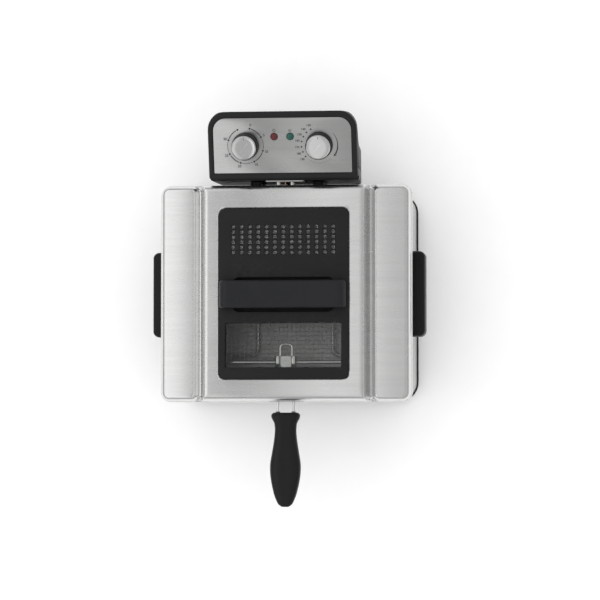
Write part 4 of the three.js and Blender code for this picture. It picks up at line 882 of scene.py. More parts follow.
# ================================================================ heating element
# One sheathed tube, bent cold: two legs come out of the control unit over the rim, drop behind the
# basket and run in a loop near the floor. A steel plate clamps the legs to the head.
def bent(corners, radius, closed=False, step=0.16):
    """Centre line of a bent wire: straight runs with every corner rounded to a radius."""
    corners = [np.array(c, float) for c in corners]
    n, line = len(corners), []
    for i, corner in enumerate(corners):
        if not closed and i in (0, n - 1):
            line.append(corner)
            continue
        a, b = corners[i - 1] - corner, corners[(i + 1) % n] - corner
        a, b = a / np.linalg.norm(a), b / np.linalg.norm(b)
        half = math.acos(np.clip(a @ b, -1, 1)) / 2
        middle = corner + (a + b) / np.linalg.norm(a + b) * radius / math.sin(half)
        start = corner + a * radius / math.tan(half) - middle
        end = corner + b * radius / math.tan(half) - middle
        turn = math.pi - 2 * half
        steps = max(2, int(turn / step) + 1)
        for t in np.linspace(0, 1, steps + 1):
            swing = start * math.sin((1 - t) * turn) + end * math.sin(t * turn)
            line.append(middle + swing / math.sin(turn))
    return np.array(line)


def tube(line, radius, sides=12, closed=False):
    """Round wire or pipe along a centre line, with slightly rounded ends. The radius may change."""
    line = np.asarray(line, float)
    n = len(line)
    radius = np.full(n, float(radius)) if np.isscalar(radius) else np.asarray(radius, float)
    if not closed:
        first, last = line[1] - line[0], line[-1] - line[-2]
        first, last = first / np.linalg.norm(first), last / np.linalg.norm(last)
        cut0, cut1 = radius[0] * 0.3, radius[-1] * 0.3
        line = np.vstack([line[:1], line[:1] + first * cut0, line[1:-1], line[-1:] - last * cut1, line[-1:]])
        radius = np.concatenate([[radius[0] * 0.7], radius[:1], radius[1:-1], radius[-1:],
            [radius[-1] * 0.7]])
        n = len(line)
    ahead = np.roll(line, -1, 0) - line
    if not closed:
        ahead[-1] = ahead[-2]
    ahead /= np.linalg.norm(ahead, axis=1)[:, None]
    back = np.roll(ahead, 1, 0)
    if not closed:
        back[0] = ahead[0]
    tangent = ahead + back
    tangent /= np.linalg.norm(tangent, axis=1)[:, None]
    side = np.cross(tangent[0], (0, 0, 1) if abs(tangent[0][2]) < 0.9 else (1, 0, 0))
    rings, a = [], np.linspace(0, 2 * np.pi, sides, endpoint=False)
    for p, t, r in zip(line, tangent, radius):
        side = side - t * (side @ t)
        side /= np.linalg.norm(side)
        other = np.cross(t, side)
        rings.append(p + r * (np.cos(a)[:, None] * side + np.sin(a)[:, None] * other))
    if closed:
        twist = np.argmin([np.linalg.norm(np.roll(rings[0], s, 0) - rings[-1]) for s in range(sides)])
        points, faces = loft(rings, caps=False)
        k = np.arange(sides)
        m = (n - 1) * sides
        faces += np.c_[m + k, m + (k + 1) % sides, (k + 1 - twist) % sides, (k - twist) % sides].tolist()
        return points, faces
    return loft(rings)


def wire_finish(name, colour, rough, tarnish):
    """Plated or drawn wire: bright metal with fine draw marks, and tarnish in patches."""
    finish, tree, shader = new_finish(name)
    drawn = use_effect(tree, brushed_grain, Stretch=(420.0, 420.0, 420.0))
    hands = use_effect(tree, handling, Size=70.0)
    marked = blend_colours(tree, drawn.outputs["Streak"], [c * 0.88 for c in colour], colour)
    tree.links.new(blend_colours(tree, sum_of(tree, 0.0, (hands.outputs["Smear"], 0.55)), marked, tarnish),
        shader.inputs["Base Color"])
    shader.inputs["Metallic"].default_value = 1.0
    tree.links.new(sum_of(tree, rough, (hands.outputs["Smear"], 0.10), (drawn.outputs["Height"], 0.06)),
        shader.inputs["Roughness"])
    bump = wire_up(tree, "Bump", {"Height": drawn.outputs["Height"], "Strength": 0.2, "Distance": 0.00001})
    tree.links.new(bump.outputs["Normal"], shader.inputs["Normal"])
    return finish


ELEMENT_R = 3.25
LEG_X = 9.3
low, high = corners_of("heating_element")
LEG_Z = high[2] - ELEMENT_R
ELEMENT_Z = low[2] + ELEMENT_R
tank_rear = corners_of("oil_tank")[1][1] - TANK_RIM
LEG_Y = tank_rear - 13
right, front, turn_y, mid = high[0] - ELEMENT_R, low[1] + ELEMENT_R, LEG_Y - 49, 52.0
half = [(LEG_X, HEAD_Y + 8, LEG_Z), (LEG_X, LEG_Y, LEG_Z), (LEG_X, LEG_Y, ELEMENT_Z),
    (LEG_X, turn_y, ELEMENT_Z), (right, turn_y, ELEMENT_Z), (right, front, ELEMENT_Z),
    (mid, front, ELEMENT_Z), (mid, turn_y - 40, ELEMENT_Z)]
loop_line = half + [(-x, y, z) for x, y, z in reversed(half)]
sheath = wire_finish("element_sheath", (0.72, 0.71, 0.69), 0.20, (0.45, 0.42, 0.38))
make_piece("element_tube", tube(bent(loop_line, 9), ELEMENT_R, 20), sheath, "control_unit",
    ["heating_element"])

low, high = corners_of("element_plate")
clamp = outline(low[0], high[0], low[2], high[2], 2.5, 5)
bores = [circle(x, LEG_Z, r, 20) for x, r in ((-LEG_X, 3.65), (LEG_X, 3.65), (0, 1.4))]
clamp_slab = slab(clamp, bores, 0.0, high[1] - low[1], edge=0.3)
make_piece("element_clamp_plate", stood_up(clamp_slab, 0, high[1], 0, -1), mech_steel,
    "control_unit", ["element_plate"])
rivets = []
for x in (-21, 21):
    head = turned([(2.4, 0.0), (2.3, 0.25), (1.7, 0.35), (0.05, 0.38)], 0, 0, 20)
    rivets.append(stood_up(head, x, low[1] + 0.1, LEG_Z, -1))
make_piece("clamp_rivets", together(*rivets), screw_steel, "control_unit")

# Thermostat bulb: copper, swaged at both ends, its capillary pipe running back into the head.
low, high = corners_of("thermostat_bulb")
copper = wire_finish("bulb_copper", (0.62, 0.36, 0.22), 0.26, (0.34, 0.20, 0.13))
BULB_L = 66
bulb_top = low[2] + BULB_L
pipe = bent([(0, LEG_Y, bulb_top - 4), (0, LEG_Y, LEG_Z), (0, HEAD_Y + 12, LEG_Z)], 5)
bulb = [(0.5, low[2]), (1.3, low[2] + 0.2), (2.0, low[2] + 1.0), (2.6, low[2] + 2.2), (2.6, bulb_top - 3.6),
    (2.2, bulb_top - 2.4), (1.3, bulb_top - 1.0), (1.0, bulb_top)]
make_piece("sensor_bulb", together(turned(bulb, 0, LEG_Y, 24), tube(pipe, 0.9, 12)), copper, "control_unit",
    ["thermostat_bulb"])
refinish("bulb_clip", mech_steel, 0.2)

# ================================================================ frying basket
# Welded wire mesh on a heavy rim wire, standing on two bent wire feet. Drawn wire, nickel plated
# after welding. The longer wires lie outside the shorter ones, as they are laid in the welder.
low, high = corners_of("basket_mesh")
MESH_R, MESH_PITCH, MESH_INSET = 0.55, 6.0, 1.2
BASKET_R, BASKET_FLOOR_R = 22.0, 10.0
mesh_wire = wire_finish("mesh_wire", (0.72, 0.71, 0.68), 0.24, (0.50, 0.46, 0.40))
hx, hy = high[0] - MESH_INSET, high[1] - MESH_INSET
z_floor, z_top = low[2] + MESH_INSET, high[2]


def reach(across, half_across, half_along):
    """How far the basket wall is, at a place along the other side, with its rounded corners."""
    r = BASKET_R - MESH_INSET
    past = abs(across) - (half_across - r)
    return half_along if past <= 0 else half_along - r + math.sqrt(max(r * r - past * past, 0))


mesh_shapes = []
r = BASKET_FLOOR_R - MESH_INSET
for count, half_across, half_along, swap, lift in ((int(2 * hy / MESH_PITCH), hy, hx, False, 0.45),
                                                   (int(2 * hx / MESH_PITCH), hx, hy, True, -0.45)):
    for c in (np.arange(count + 1) - count / 2) * MESH_PITCH:
        if abs(c) > half_across - 2:
            continue
        e = reach(c, half_across, half_along) - (0.0 if swap else 0.55)
        edge_out = abs(c) - (half_across - r)
        rise = r - math.sqrt(r * r - edge_out * edge_out) if edge_out > 0 else 0.0
        zf = z_floor + rise + (lift + 0.45)
        line = bent([(-e, c, z_top), (-e, c, zf), (e, c, zf), (e, c, z_top)], max(r - rise, 2.0), step=0.3)
        if swap:
            line = line[:, (1, 0, 2)]
        mesh_shapes.append(tube(line, MESH_R, 6))
for z in np.arange(z_floor + r, z_top - 1, MESH_PITCH):
    ring = level(outline(-hx + 0.55, hx - 0.55, -hy + 0.55, hy - 0.55, BASKET_R - 1.7, 7)(), z)
    mesh_shapes.append(tube(ring, MESH_R, 6, closed=True))
make_piece("basket_wire_mesh", together(*mesh_shapes), mesh_wire, "basket", ["basket_mesh"],
    sharp=80)

bright_wire = wire_finish("bright_wire", (0.82, 0.82, 0.80), 0.14, (0.62, 0.60, 0.56))
low, high = corners_of("basket_rim_wire")
RIM_R = 2.4
rim = level(outline(low[0] + RIM_R, high[0] - RIM_R, low[1] + RIM_R, high[1] - RIM_R, BASKET_R, 11)(),
    (low[2] + high[2]) / 2)
make_piece("basket_rim", tube(rim, RIM_R, 18, closed=True), bright_wire, "basket",
    ["basket_rim_wire"], sharp=80)
for side in ("left", "right"):
    low, high = corners_of("basket_foot_" + side)
    x = (low[0] + high[0]) / 2
    y0, y1, z0 = low[1] + 2, high[1] - 2, low[2] + 2
    line = bent([(x, y0, high[2]), (x, y0, z0), (x, y1, z0), (x, y1, high[2])], 6)
    make_piece("basket_foot_wire_" + side, tube(line, 2.0, 14), bright_wire, "basket",
        ["basket_foot_" + side], sharp=80)

# Front bracket: two short sockets on a folded plate, welded over the rim wire, and a loop inside
# the basket that the hand lifts against.
low, high = corners_of("handle_bracket")
PRONG_X, PRONG_R = 10.6, 2.0
PRONG_Z = high[2] - 3.6
FRONT_Y = low[1] + 8
rim_top = corners_of("basket_rim_wire")[1][2] + 0.3
fold = outline(-14, 14, FRONT_Y - 8, FRONT_Y + 8, 2.5, 5)
bracket = [loft([level(fold(-0.3), rim_top), level(fold(), rim_top + 0.4), level(fold(), PRONG_Z - 3.2),
    level(fold(-0.4), PRONG_Z - 2.6)])]
for x in (-PRONG_X, PRONG_X):
    a = np.linspace(0, 2 * np.pi, 28, endpoint=False)
    sleeve = [(2.45, -8.0), (3.3, -8.0), (3.6, -7.6), (3.6, 7.6), (3.3, 8.0), (2.45, 8.0)]
    rings = [np.c_[x + q * np.cos(a), np.full(28, FRONT_Y + y), PRONG_Z + q * np.sin(a)] for q, y in sleeve]
    bracket.append(loft(rings, closed=True))
bracket.append(tube(bent([(-8, FRONT_Y + 5, rim_top + 1.8), (-8, FRONT_Y + 24, rim_top + 1.8),
    (8, FRONT_Y + 24, rim_top + 1.8), (8, FRONT_Y + 5, rim_top + 1.8)], 5), 1.6, 14))
make_piece("handle_socket", together(*bracket), bright_wire, "basket", ["handle_bracket"])

# ================================================================ basket handle
# One bent wire whose two prongs push into the sockets, with its closed end moulded into a black
# grip. The grip swells in the middle of the palm, flares at the wires and rounds off at its end.
GRIP_RISE = math.radians(3)
wires_high = corners_of("handle_wires")[1]
grip_low, grip_high = corners_of("handle_grip")
GRIP_L = 126.0
GRIP_Y = corners_of("lid_shell")[0][1] - 14
bend_y = GRIP_Y + 6
end_y, end_z = bend_y - 66 * math.cos(GRIP_RISE), PRONG_Z + 66 * math.sin(GRIP_RISE)
line = bent([(-PRONG_X, wires_high[1], PRONG_Z), (-PRONG_X, bend_y, PRONG_Z), (-PRONG_X, end_y, end_z),
    (PRONG_X, end_y, end_z), (PRONG_X, bend_y, PRONG_Z), (PRONG_X, wires_high[1], PRONG_Z)], 9)
make_piece("handle_wire_pair", tube(line, PRONG_R, 18), bright_wire, "basket_handle",
    ["handle_wires"], sharp=80)

grip_plastic = moulding_finish("grip_plastic", (0.008, 0.008, 0.0085), (0.03, 0.03, 0.031), 0.34,
    fineness=1100.0, depth=0.03)
GRIP_WIDTHS = [(0, 17.4), (4, 19.5), (8, 18.6), (13, 15.8), (20, 14.6), (36, 15.4), (55, 18.4), (70, 20.6),
    (84, 20.2), (100, 17.4), (112, 14.2), (119, 11.2), (123.5, 8.4), (126, 4.6)]
GRIP_THICK = [(0, 9.0), (4, 10.6), (8, 10.2), (13, 9.2), (20, 8.8), (36, 9.4), (55, 10.6), (70, 11.0),
    (84, 10.9), (100, 10.2), (112, 9.0), (119, 7.4), (123.5, 5.4), (126, 2.8)]


def smooth_through(pairs, at):
    """Values of a smooth curve through the pairs, without overshoot."""
    x, y = np.array(pairs, float).T
    slope = np.gradient(y, x)
    i = np.clip(np.searchsorted(x, at) - 1, 0, len(x) - 2)
    h = x[i + 1] - x[i]
    t = (at - x[i]) / h
    return ((2 * t**3 - 3 * t**2 + 1) * y[i] + (t**3 - 2 * t**2 + t) * h * slope[i]
        + (-2 * t**3 + 3 * t**2) * y[i + 1] + (t**3 - t**2) * h * slope[i + 1])


stations = np.concatenate([[0.0, 0.35, 1.0, 2.0], np.linspace(3.2, 118, 44),
    [120.5, 122.6, 124.2, 125.2, 125.8, 126.0]])
half_w = smooth_through(GRIP_WIDTHS, stations)
half_t = smooth_through(GRIP_THICK, stations)
half_w[:3] -= (1.6, 0.7, 0.15)
half_t[:3] -= (1.2, 0.5, 0.1)
a = np.linspace(0, 2 * np.pi, 40, endpoint=False)
square = 2 / 2.7
ca, sa = np.sign(np.cos(a)) * np.abs(np.cos(a)) ** square, np.sign(np.sin(a)) * np.abs(np.sin(a)) ** square
rings = []
lift = PRONG_Z + 8 * math.sin(GRIP_RISE)
for l, w, t in zip(stations * GRIP_L / 126, half_w, half_t):
    rings.append(np.c_[w * ca, np.full(40, GRIP_Y - l * math.cos(GRIP_RISE)),
        lift + l * math.sin(GRIP_RISE) + t * sa])
for ring in rings:
    ring[:, 1] = np.maximum(ring[:, 1], grip_low[1])
    ring[:, 2] = np.clip(ring[:, 2], grip_low[2], grip_high[2])
make_piece("grip_moulding", loft(rings), grip_plastic, "basket_handle", ["handle_grip"],
    sharp=60)
# Two small wells where the wires enter the grip.
wells = []
for x in (-PRONG_X, PRONG_X):
    a2 = np.linspace(0, 2 * np.pi, 24, endpoint=False)
    collar = [np.c_[x + q * np.cos(a2), np.full(24, GRIP_Y + y), PRONG_Z + q * np.sin(a2)]
        for q, y in ((2.3, 0.2), (3.3, 0.2), (3.0, 1.3), (2.3, 1.5))]
    wells.append(loft(collar, closed=True))
make_piece("grip_collars", together(*wells), grip_plastic, "basket_handle")

# ================================================================ lid
# One deep pressing of stainless steel, brushed from side to side: a raised middle field, a groove
# at each side of it, and a softly crowned wing beyond. The skirt is folded down over the housing
# and notched at the rear for the element legs and in front for the basket handle.
low, high = corners_of("lid_shell")
LID_W, LID_D = high[0] - low[0], high[1] - low[1]
LID_R = 14.0
SKIRT_Z, CENTRE_Z = low[2], high[2]
EDGE_Z = SKIRT_Z + 9.3
WING_Z, SADDLE_Z = EDGE_Z + 13, EDGE_Z + 7
GROOVE_X = 113.5
WING_IN = GROOVE_X + 2.8
WING_OUT = LID_W / 2 - 2
WING_CROWN = 0.6


def softened_block(x, y, x0, x1, half_d, r, top, edge, fall=7.0):
    """Height of a raised field with rounded corners and a rounded shoulder."""
    ax = np.abs(x - (x0 + x1) / 2) - ((x1 - x0) / 2 - r)
    ay = np.abs(y) - (half_d - r)
    inside = r - np.hypot(np.maximum(ax, 0), np.maximum(ay, 0)) - np.minimum(np.maximum(ax, ay), 0)
    q = np.clip(inside, 0, edge)
    return top - edge + np.sqrt(edge**2 - (edge - q)**2) + np.minimum(inside, 0) * fall


def lid_height(x, y):
    """Height of the pressing: every field, run together with the small fillets of a press tool."""
    ax = np.abs(x)
    edge = np.full_like(x, EDGE_Z)
    saddle = softened_block(x, y, -GROOVE_X - 5.8, GROOVE_X + 5.8, LID_D / 2 - 1.5, 10, SADDLE_Z, 6)
    middle = (WING_IN + WING_OUT) / 2
    wing = softened_block(ax, y, WING_IN, WING_OUT, LID_D / 2 - 2, 11, WING_Z, 8)
    wing -= WING_CROWN * np.clip(((ax - middle) / (WING_OUT - middle))**2, 0, 1)
    across = np.interp(ax, [0, 102, 104.2, 105.6, 106.7, 108, 113.5, 114.5],
        [CENTRE_Z, CENTRE_Z, CENTRE_Z - 0.25, CENTRE_Z - 0.85, CENTRE_Z - 1.9, CENTRE_Z - 4.4, SADDLE_Z,
        SADDLE_Z - 8])
    q = np.clip(LID_D / 2 - 1.2 - np.abs(y), 0, 12)
    down = CENTRE_Z - 12 + np.sqrt(144 - (12 - q)**2)
    centre = (across + down - np.sqrt((across - down)**2 + 0.6)) / 2 + 0.02
    z = edge
    for field, fillet in ((saddle, 1.2), (wing, 1.6), (centre, 1.6)):
        z = (z + field + np.sqrt((z - field)**2 + fillet**2)) / 2 - fillet**2 / 60
    return np.minimum(z, CENTRE_Z)


def both_sides(values):
    values = np.array(values, float)
    return np.unique(np.concatenate([-values, values]))


inner_x, inner_y = LID_W / 2 - LID_R, LID_D / 2 - LID_R
insert_low, insert_high = corners_of("lid_insert")
INSERT_W, INSERT_D = 174.8, 228.0
INSERT_Y = (insert_low[1] + insert_high[1]) / 2
opening_x = INSERT_W / 2 - 3.4
opening_y = (INSERT_Y - INSERT_D / 2 + 3.25, INSERT_Y + INSERT_D / 2 - 3.25)
xs = both_sides([0, 12, 17, 25, 34, 45, 56, 67, 78, opening_x, 90, 96, 99, *np.arange(101, 126.1, 0.8),
    128, 131, 135, 139, 143, 147, 150, 153, inner_x])
ys = np.unique(np.concatenate([both_sides([0, 12, 24, 36, 48, 60, 72, 84, 96, 104, 118, 122, 125, 128, 130,
    inner_y]),
    opening_y]))
gx, gy = np.meshgrid(xs, ys, indexing="ij")
field = np.c_[gx.ravel(), gy.ravel(), lid_height(gx.ravel(), gy.ravel())]
count_x, count_y = len(xs), len(ys)
field_faces = []
for i in range(count_x - 1):
    for j in range(count_y - 1):
        cx, cy = (xs[i] + xs[i + 1]) / 2, (ys[j] + ys[j + 1]) / 2
        if abs(cx) < opening_x and opening_y[0] < cy < opening_y[1]:
            continue
        field_faces.append([i * count_y + j, (i + 1) * count_y + j, (i + 1) * count_y + j + 1,
            i * count_y + j + 1])

start, away = [], []
quarter = np.linspace(0, np.pi / 2, 11)
for (px, py), first, run in (((inner_x, inner_y), 0, [(x, inner_y) for x in xs[::-1][1:-1]]),
                             ((-inner_x, inner_y), 1, [(-inner_x, y) for y in ys[::-1][1:-1]]),
                             ((-inner_x, -inner_y), 2, [(x, -inner_y) for x in xs[1:-1]]),
                             ((inner_x, -inner_y), 3, [(inner_x, y) for y in ys[1:-1]])):
    for t in quarter + first * np.pi / 2:
        start.append((px, py))
        away.append((math.cos(t), math.sin(t)))
    t = (first + 1) * np.pi / 2
    for p in run:
        start.append(p)
        away.append((math.cos(t), math.sin(t)))
start, away = np.array(start), np.array(away)


def border(q):
    return start + away * (LID_R - q)


rings = []
for q in (14, 13, 12, 11, 10, 9, 8, 7, 6, 5, 4.2, 3.5, 2.9, 2.4, 2.0):
    p = border(q)
    rings.append(np.c_[p, lid_height(p[:, 0], p[:, 1])])
shoulder, EDGE_R = rings[-1][:, 2], 2.4
ledge = EDGE_Z - EDGE_R + math.sqrt(EDGE_R**2 - (EDGE_R - 1.2)**2)
for t in np.linspace(0, 1, 7)[1:]:
    p = border(2.0 - 0.8 * t)
    rings.append(np.c_[p, shoulder * (1 - t) + ledge * t])
for q in (0.8, 0.45, 0.15, 0.0):
    rings.append(level(border(q), EDGE_Z - EDGE_R + math.sqrt(EDGE_R**2 - (EDGE_R - q)**2)))
rings += [level(border(0.0), z) for z in (EDGE_Z - 4.5, SKIRT_Z + 1.2)] + [level(border(0.5), SKIRT_Z)]
skirt_points, skirt_faces = loft(rings, caps=False)
kept = []
for f in skirt_faces:
    c = skirt_points[f].mean(axis=0)
    front = c[1] < -inner_y - 6 and abs(c[0]) < 17 and c[2] < PRONG_Z + 5.5
    rear = c[1] > inner_y + 6 and abs(c[0]) < 34 and c[2] < LEG_Z + 6.5
    if not (front or rear):
        kept.append(f)
lid_steel = brushed_finish("lid_steel", (0.74, 0.74, 0.735), 0.25, (9.0, 520.0, 520.0), depth=0.014,
    strength=0.35)
lid = make_piece("lid_pressing", together((field, field_faces), (skirt_points, kept)), lid_steel, "lid",
    ["lid_shell"], sharp=62)
if sum(p.normal.z * p.area for p in lid.data.polygons) < 0:
    lid.data.flip_normals()
wall = lid.modifiers.new("sheet", "SOLIDIFY")
wall.thickness, wall.offset, wall.use_even_offset = SHEET / 1000 * 0.9, -1, False
for side in ("left", "right"):
    refinish("lid_rest_rail_" + side, mech_steel, 0.15)

# ================================================================ lid insert
# Black moulded plate clipped into the lid. It carries the steam holes, the window and the finger
# dish under the strap handle, and the rails of the filter cassette on its underside.
insert_plastic = moulding_finish("insert_plastic", (0.010, 0.010, 0.0105), (0.028, 0.028, 0.029), 0.46,
    fineness=1400.0, depth=0.03)
INSERT_TOP = insert_high[2]
INSERT_Z = INSERT_TOP - 3
HANDLE_Y = -3.0
WINDOW_W, WINDOW_D = INSERT_W - 18.8, 60.0
WINDOW_Y = INSERT_Y - INSERT_D / 2 + WINDOW_D / 2 + 15.3
VENT_COLUMNS, VENT_ROWS, VENT_PITCH_Y, VENT_R = 13, 6, 6.9, 2.6
VENT_PITCH_X = (INSERT_W - 40.4) / (VENT_COLUMNS - 1)
VENT_Y = INSERT_Y + INSERT_D / 2 - 41.7
DISH_W, DISH_D = INSERT_W - 36.8, 46.0
flange = outline(-INSERT_W / 2, INSERT_W / 2, INSERT_Y - INSERT_D / 2, INSERT_Y + INSERT_D / 2, 9, 11)
window = outline(-WINDOW_W / 2, WINDOW_W / 2, WINDOW_Y - WINDOW_D / 2, WINDOW_Y + WINDOW_D / 2, 2.5, 6)
dish = outline(-DISH_W / 2, DISH_W / 2, HANDLE_Y - DISH_D / 2, HANDLE_Y + DISH_D / 2, 10, 9)
vents = [circle((i - (VENT_COLUMNS - 1) / 2) * VENT_PITCH_X,
    VENT_Y + (j - (VENT_ROWS - 1) / 2) * VENT_PITCH_Y,
    VENT_R, 16) for i in range(VENT_COLUMNS) for j in range(VENT_ROWS)]
top_plate = slab(flange, [window, dish] + vents, INSERT_Z, INSERT_TOP, edge=1.4, hole_edge=0.45, steps=5)
BOWL_STEPS = 6
bowl = loft([level(dish(), INSERT_Z + 0.2), level(dish(), INSERT_Z - 7)] +
    [level(dish(-g), INSERT_Z - 10.4 + d) for g, d in rounding(3.4, BOWL_STEPS)[::-1]] +
    [level(dish(-1.0), INSERT_Z - 12.4), level(dish(1.2), INSERT_Z - 11.4), level(dish(2), INSERT_Z - 9),
     level(dish(2), INSERT_Z + 0.2)], caps=False)
ring_count = len(dish())
floor_start = (2 + BOWL_STEPS - 1) * ring_count
bowl_faces = [f for f in bowl[1] if not floor_start <= f[0] < floor_start + ring_count]
bowl_faces += [list(range(floor_start, floor_start + ring_count)),
    list(range(floor_start + ring_count, floor_start + 2 * ring_count))]
skirt_out = outline(-opening_x + 0.3, opening_x - 0.3, opening_y[0] + 0.3, opening_y[1] - 0.3, 6.7, 9)
skirt = loft([level(skirt_out(), INSERT_Z + 0.2), level(skirt_out(), INSERT_Z - 7.4),
    level(skirt_out(-0.6), INSERT_Z - 8),
    level(skirt_out(-2.5), INSERT_Z - 8), level(skirt_out(-2.5), INSERT_Z + 0.2)], closed=True)
CASSETTE_W = INSERT_W - 19.2
CASSETTE_Z = INSERT_Z - 18
rails = []
for s in (-1, 1):
    a, b, c = CASSETTE_W / 2 + 0.6, CASSETTE_W / 2 + 3.4, CASSETTE_W / 2 - 3.4
    for x0, x1, z1 in ((a, b, INSERT_Z + 0.2), (c, b, CASSETTE_Z - 0.3)):
        x0, x1 = sorted((s * x0, s * x1))
        rail = outline(x0, x1, VENT_Y - 46, VENT_Y + 28, 0.4, 3)
        rails.append(loft([level(rail(-0.3), CASSETTE_Z - 2.4), level(rail(), CASSETTE_Z - 2.1),
            level(rail(), z1)]))
make_piece("insert_plate", together(top_plate, (bowl[0], bowl_faces), skirt, *rails), insert_plastic, "lid",
    ["lid_insert"], sharp=40)

# Woven filter mesh clamped under the steam holes: plain weave of bright wire.
low, high = corners_of("filter_mesh")
WEAVE_R, WEAVE_PITCH = 0.39, 1.9
woven = []
cz = (low[2] + high[2]) / 2
for axis in (0, 1):
    span, width = (high - low)[1 - axis], (high - low)[axis]
    count = int((span - 2) / WEAVE_PITCH)
    for i in range(count + 1):
        across = (low + high)[1 - axis] / 2 + (i - count / 2) * WEAVE_PITCH
        along = np.arange(-(width - 1) / 2, (width - 1) / 2 + 0.01, WEAVE_PITCH / 2) + (low + high)[axis] / 2
        wave = np.cos(np.arange(len(along)) * np.pi / 2 + (i + axis) * np.pi) * WEAVE_R
        line = np.c_[along, np.full(len(along), across), cz + wave]
        woven.append(tube(line if axis == 0 else line[:, (1, 0, 2)], WEAVE_R, 5))
weave_wire = wire_finish("weave_wire", (0.95, 0.95, 0.94), 0.10, (0.86, 0.85, 0.82))
make_piece("woven_filter_mesh", together(*woven), weave_wire, "lid", ["filter_mesh"], sharp=80)

# Filter cassette: a slotted black tray, which slides on the rails under the insert.
low, high = corners_of("filter_cassette")
tray_loop = outline(low[0], high[0], low[1], high[1], 3, 6)
SLOT_PITCH, SLOT_HALF = 6.8, 1.4
slots = [outline(low[0] + 16, high[0] - 16, VENT_Y + i * SLOT_PITCH - SLOT_HALF,
    VENT_Y + i * SLOT_PITCH + SLOT_HALF, 1.3, 5) for i in range(-3, 4)]
floor_slab = slab(tray_loop, slots, low[2], low[2] + 1.6, edge=0.2, hole_edge=0.3)
rim_shape = loft([level(tray_loop(-0.1), low[2] + 0.8), level(tray_loop(), low[2] + 1.2),
    level(tray_loop(), high[2] - 0.5),
    level(tray_loop(-0.5), high[2]), level(tray_loop(-1.6), high[2]), level(tray_loop(-2.0), high[2] - 0.4),
    level(tray_loop(-2.0), low[2] + 0.8)], closed=True)
make_piece("grease_filter_tray", together(floor_slab, rim_shape), insert_plastic, "filter",
    ["filter_cassette"])

# Window: a pane of toughened glass held up against the insert by a soft black frame.
low, high = corners_of("window_pane")
glass, tree, shader = new_finish("window_glass")
hands = use_effect(tree, handling, Size=30.0)
tree.links.new(sum_of(tree, 0.02, (hands.outputs["Smear"], 0.05), (hands.outputs["Dust"], 0.10)),
    shader.inputs["Roughness"])
tree.links.new(blend_colours(tree, hands.outputs["Dust"], (0.96, 0.98, 0.97), (0.90, 0.92, 0.91)),
    shader.inputs["Base Color"])
shader.inputs["Transmission Weight"].default_value = 1.0
shader.inputs["IOR"].default_value = 1.46
pane = outline(low[0], high[0], low[1], high[1], 2, 5)
make_piece("glass_pane", loft([level(pane(-0.3), low[2]), level(pane(), low[2] + 0.3),
    level(pane(), high[2] - 0.3),
    level(pane(-0.3), high[2])]), glass, "lid", ["window_pane"])
refinish("window_frame", foot_rubber, 0.3)

# ================================================================ strap handle
# A broad moulded strap across the insert, hollow underneath for the fingers, with rounded long
# edges. Two screws from below hold its ends.
low, high = corners_of("lid_handle")
strap_plastic = moulding_finish("strap_plastic", (0.013, 0.0135, 0.0155), (0.06, 0.062, 0.067), 0.36,
    fineness=1500.0, depth=0.02)
z0, z1, o = low[2], high[2], high[0]
leg = o - 13
arc = np.linspace(0, np.pi / 2, 9)
over = [(-o, z0), (-o, z0 + 4)] + [(-o + 11 - 11 * math.cos(t), z1 - 11 + 11 * math.sin(t)) for t in arc]
under = [(-leg, z0), (-leg, z0 + 4)] + [(-leg + 7 - 7 * math.cos(t), z1 - 15 + 7 * math.sin(t)) for t in arc]
for x in (-44, -22, 0, 22, 44):
    over.append((x, z1))
    under.append((x, z1 - 8))
over += [(-x, z) for x, z in over[:11][::-1]]
under += [(-x, z) for x, z in under[:11][::-1]]
half_d = (high[1] - low[1]) / 2
TOP_R, LOW_R = 4.0, 1.2
section = [(half_d - g, d) for g, d in rounding(TOP_R, 7)]
section += [(half_d - g, -d) for g, d in rounding(LOW_R, 4)[::-1]]
rings = []
for (ox, oz), (ux, uz) in zip(over, under):
    thick = math.hypot(ox - ux, oz - uz)
    ring = []
    for y, d in section:
        share = d / thick if d >= 0 and (y, d) in section[:7] else (thick + d) / thick
        ring.append((ox + (ux - ox) * share, HANDLE_Y + y, oz + (uz - oz) * share))
    ring += [(x, 2 * HANDLE_Y - y, z) for x, y, z in ring[::-1]]
    rings.append(np.array(ring))
make_piece("strap_handle", loft(rings), strap_plastic, "lid", ["lid_handle"], sharp=45)

# ================================================================ studio
# A pale floor, and even light from all round that is dimmer where it is seen in reflections. A
# weak soft light stands at the left, and a graded card hangs overhead. The camera looks steeply
# down.
def flat_panel(name, half, z, paint, corners):
    """A square sheet of the studio at a height, with its corners in the given order."""
    mesh = bpy.data.meshes.new(name)
    mesh.from_pydata([(x * half, y * half, z) for x, y in corners], [], [(0, 1, 2, 3)])
    mesh.materials.append(paint)
    panel = bpy.data.objects.new(name, mesh)
    bpy.context.scene.collection.objects.link(panel)
    return panel


def looking(place, back):
    """Where a lamp or camera stands that looks the opposite way to the direction behind it."""
    side = np.cross((0, 1, 0), back)
    side /= np.linalg.norm(side)
    turn = Matrix(np.c_[side, np.cross(back, side), back].tolist()).to_4x4()
    return Matrix.Translation(place) @ turn


floor_paint, tree, shader = new_finish("floor_paint")
skin = use_effect(tree, moulded_skin, Fineness=120.0)
tree.links.new(blend_colours(tree, skin.outputs["Cloud"], (0.92, 0.92, 0.92), (0.95, 0.95, 0.95)),
    shader.inputs["Base Color"])
tree.links.new(sum_of(tree, 0.80, (skin.outputs["Cloud"], 0.08)), shader.inputs["Roughness"])
shader.inputs["Specular IOR Level"].default_value = 0.2
FLOOR_HALF = 4.0
floor = flat_panel("floor", FLOOR_HALF, 0, floor_paint, ((-1, -1), (1, -1), (1, 1), (-1, 1)))

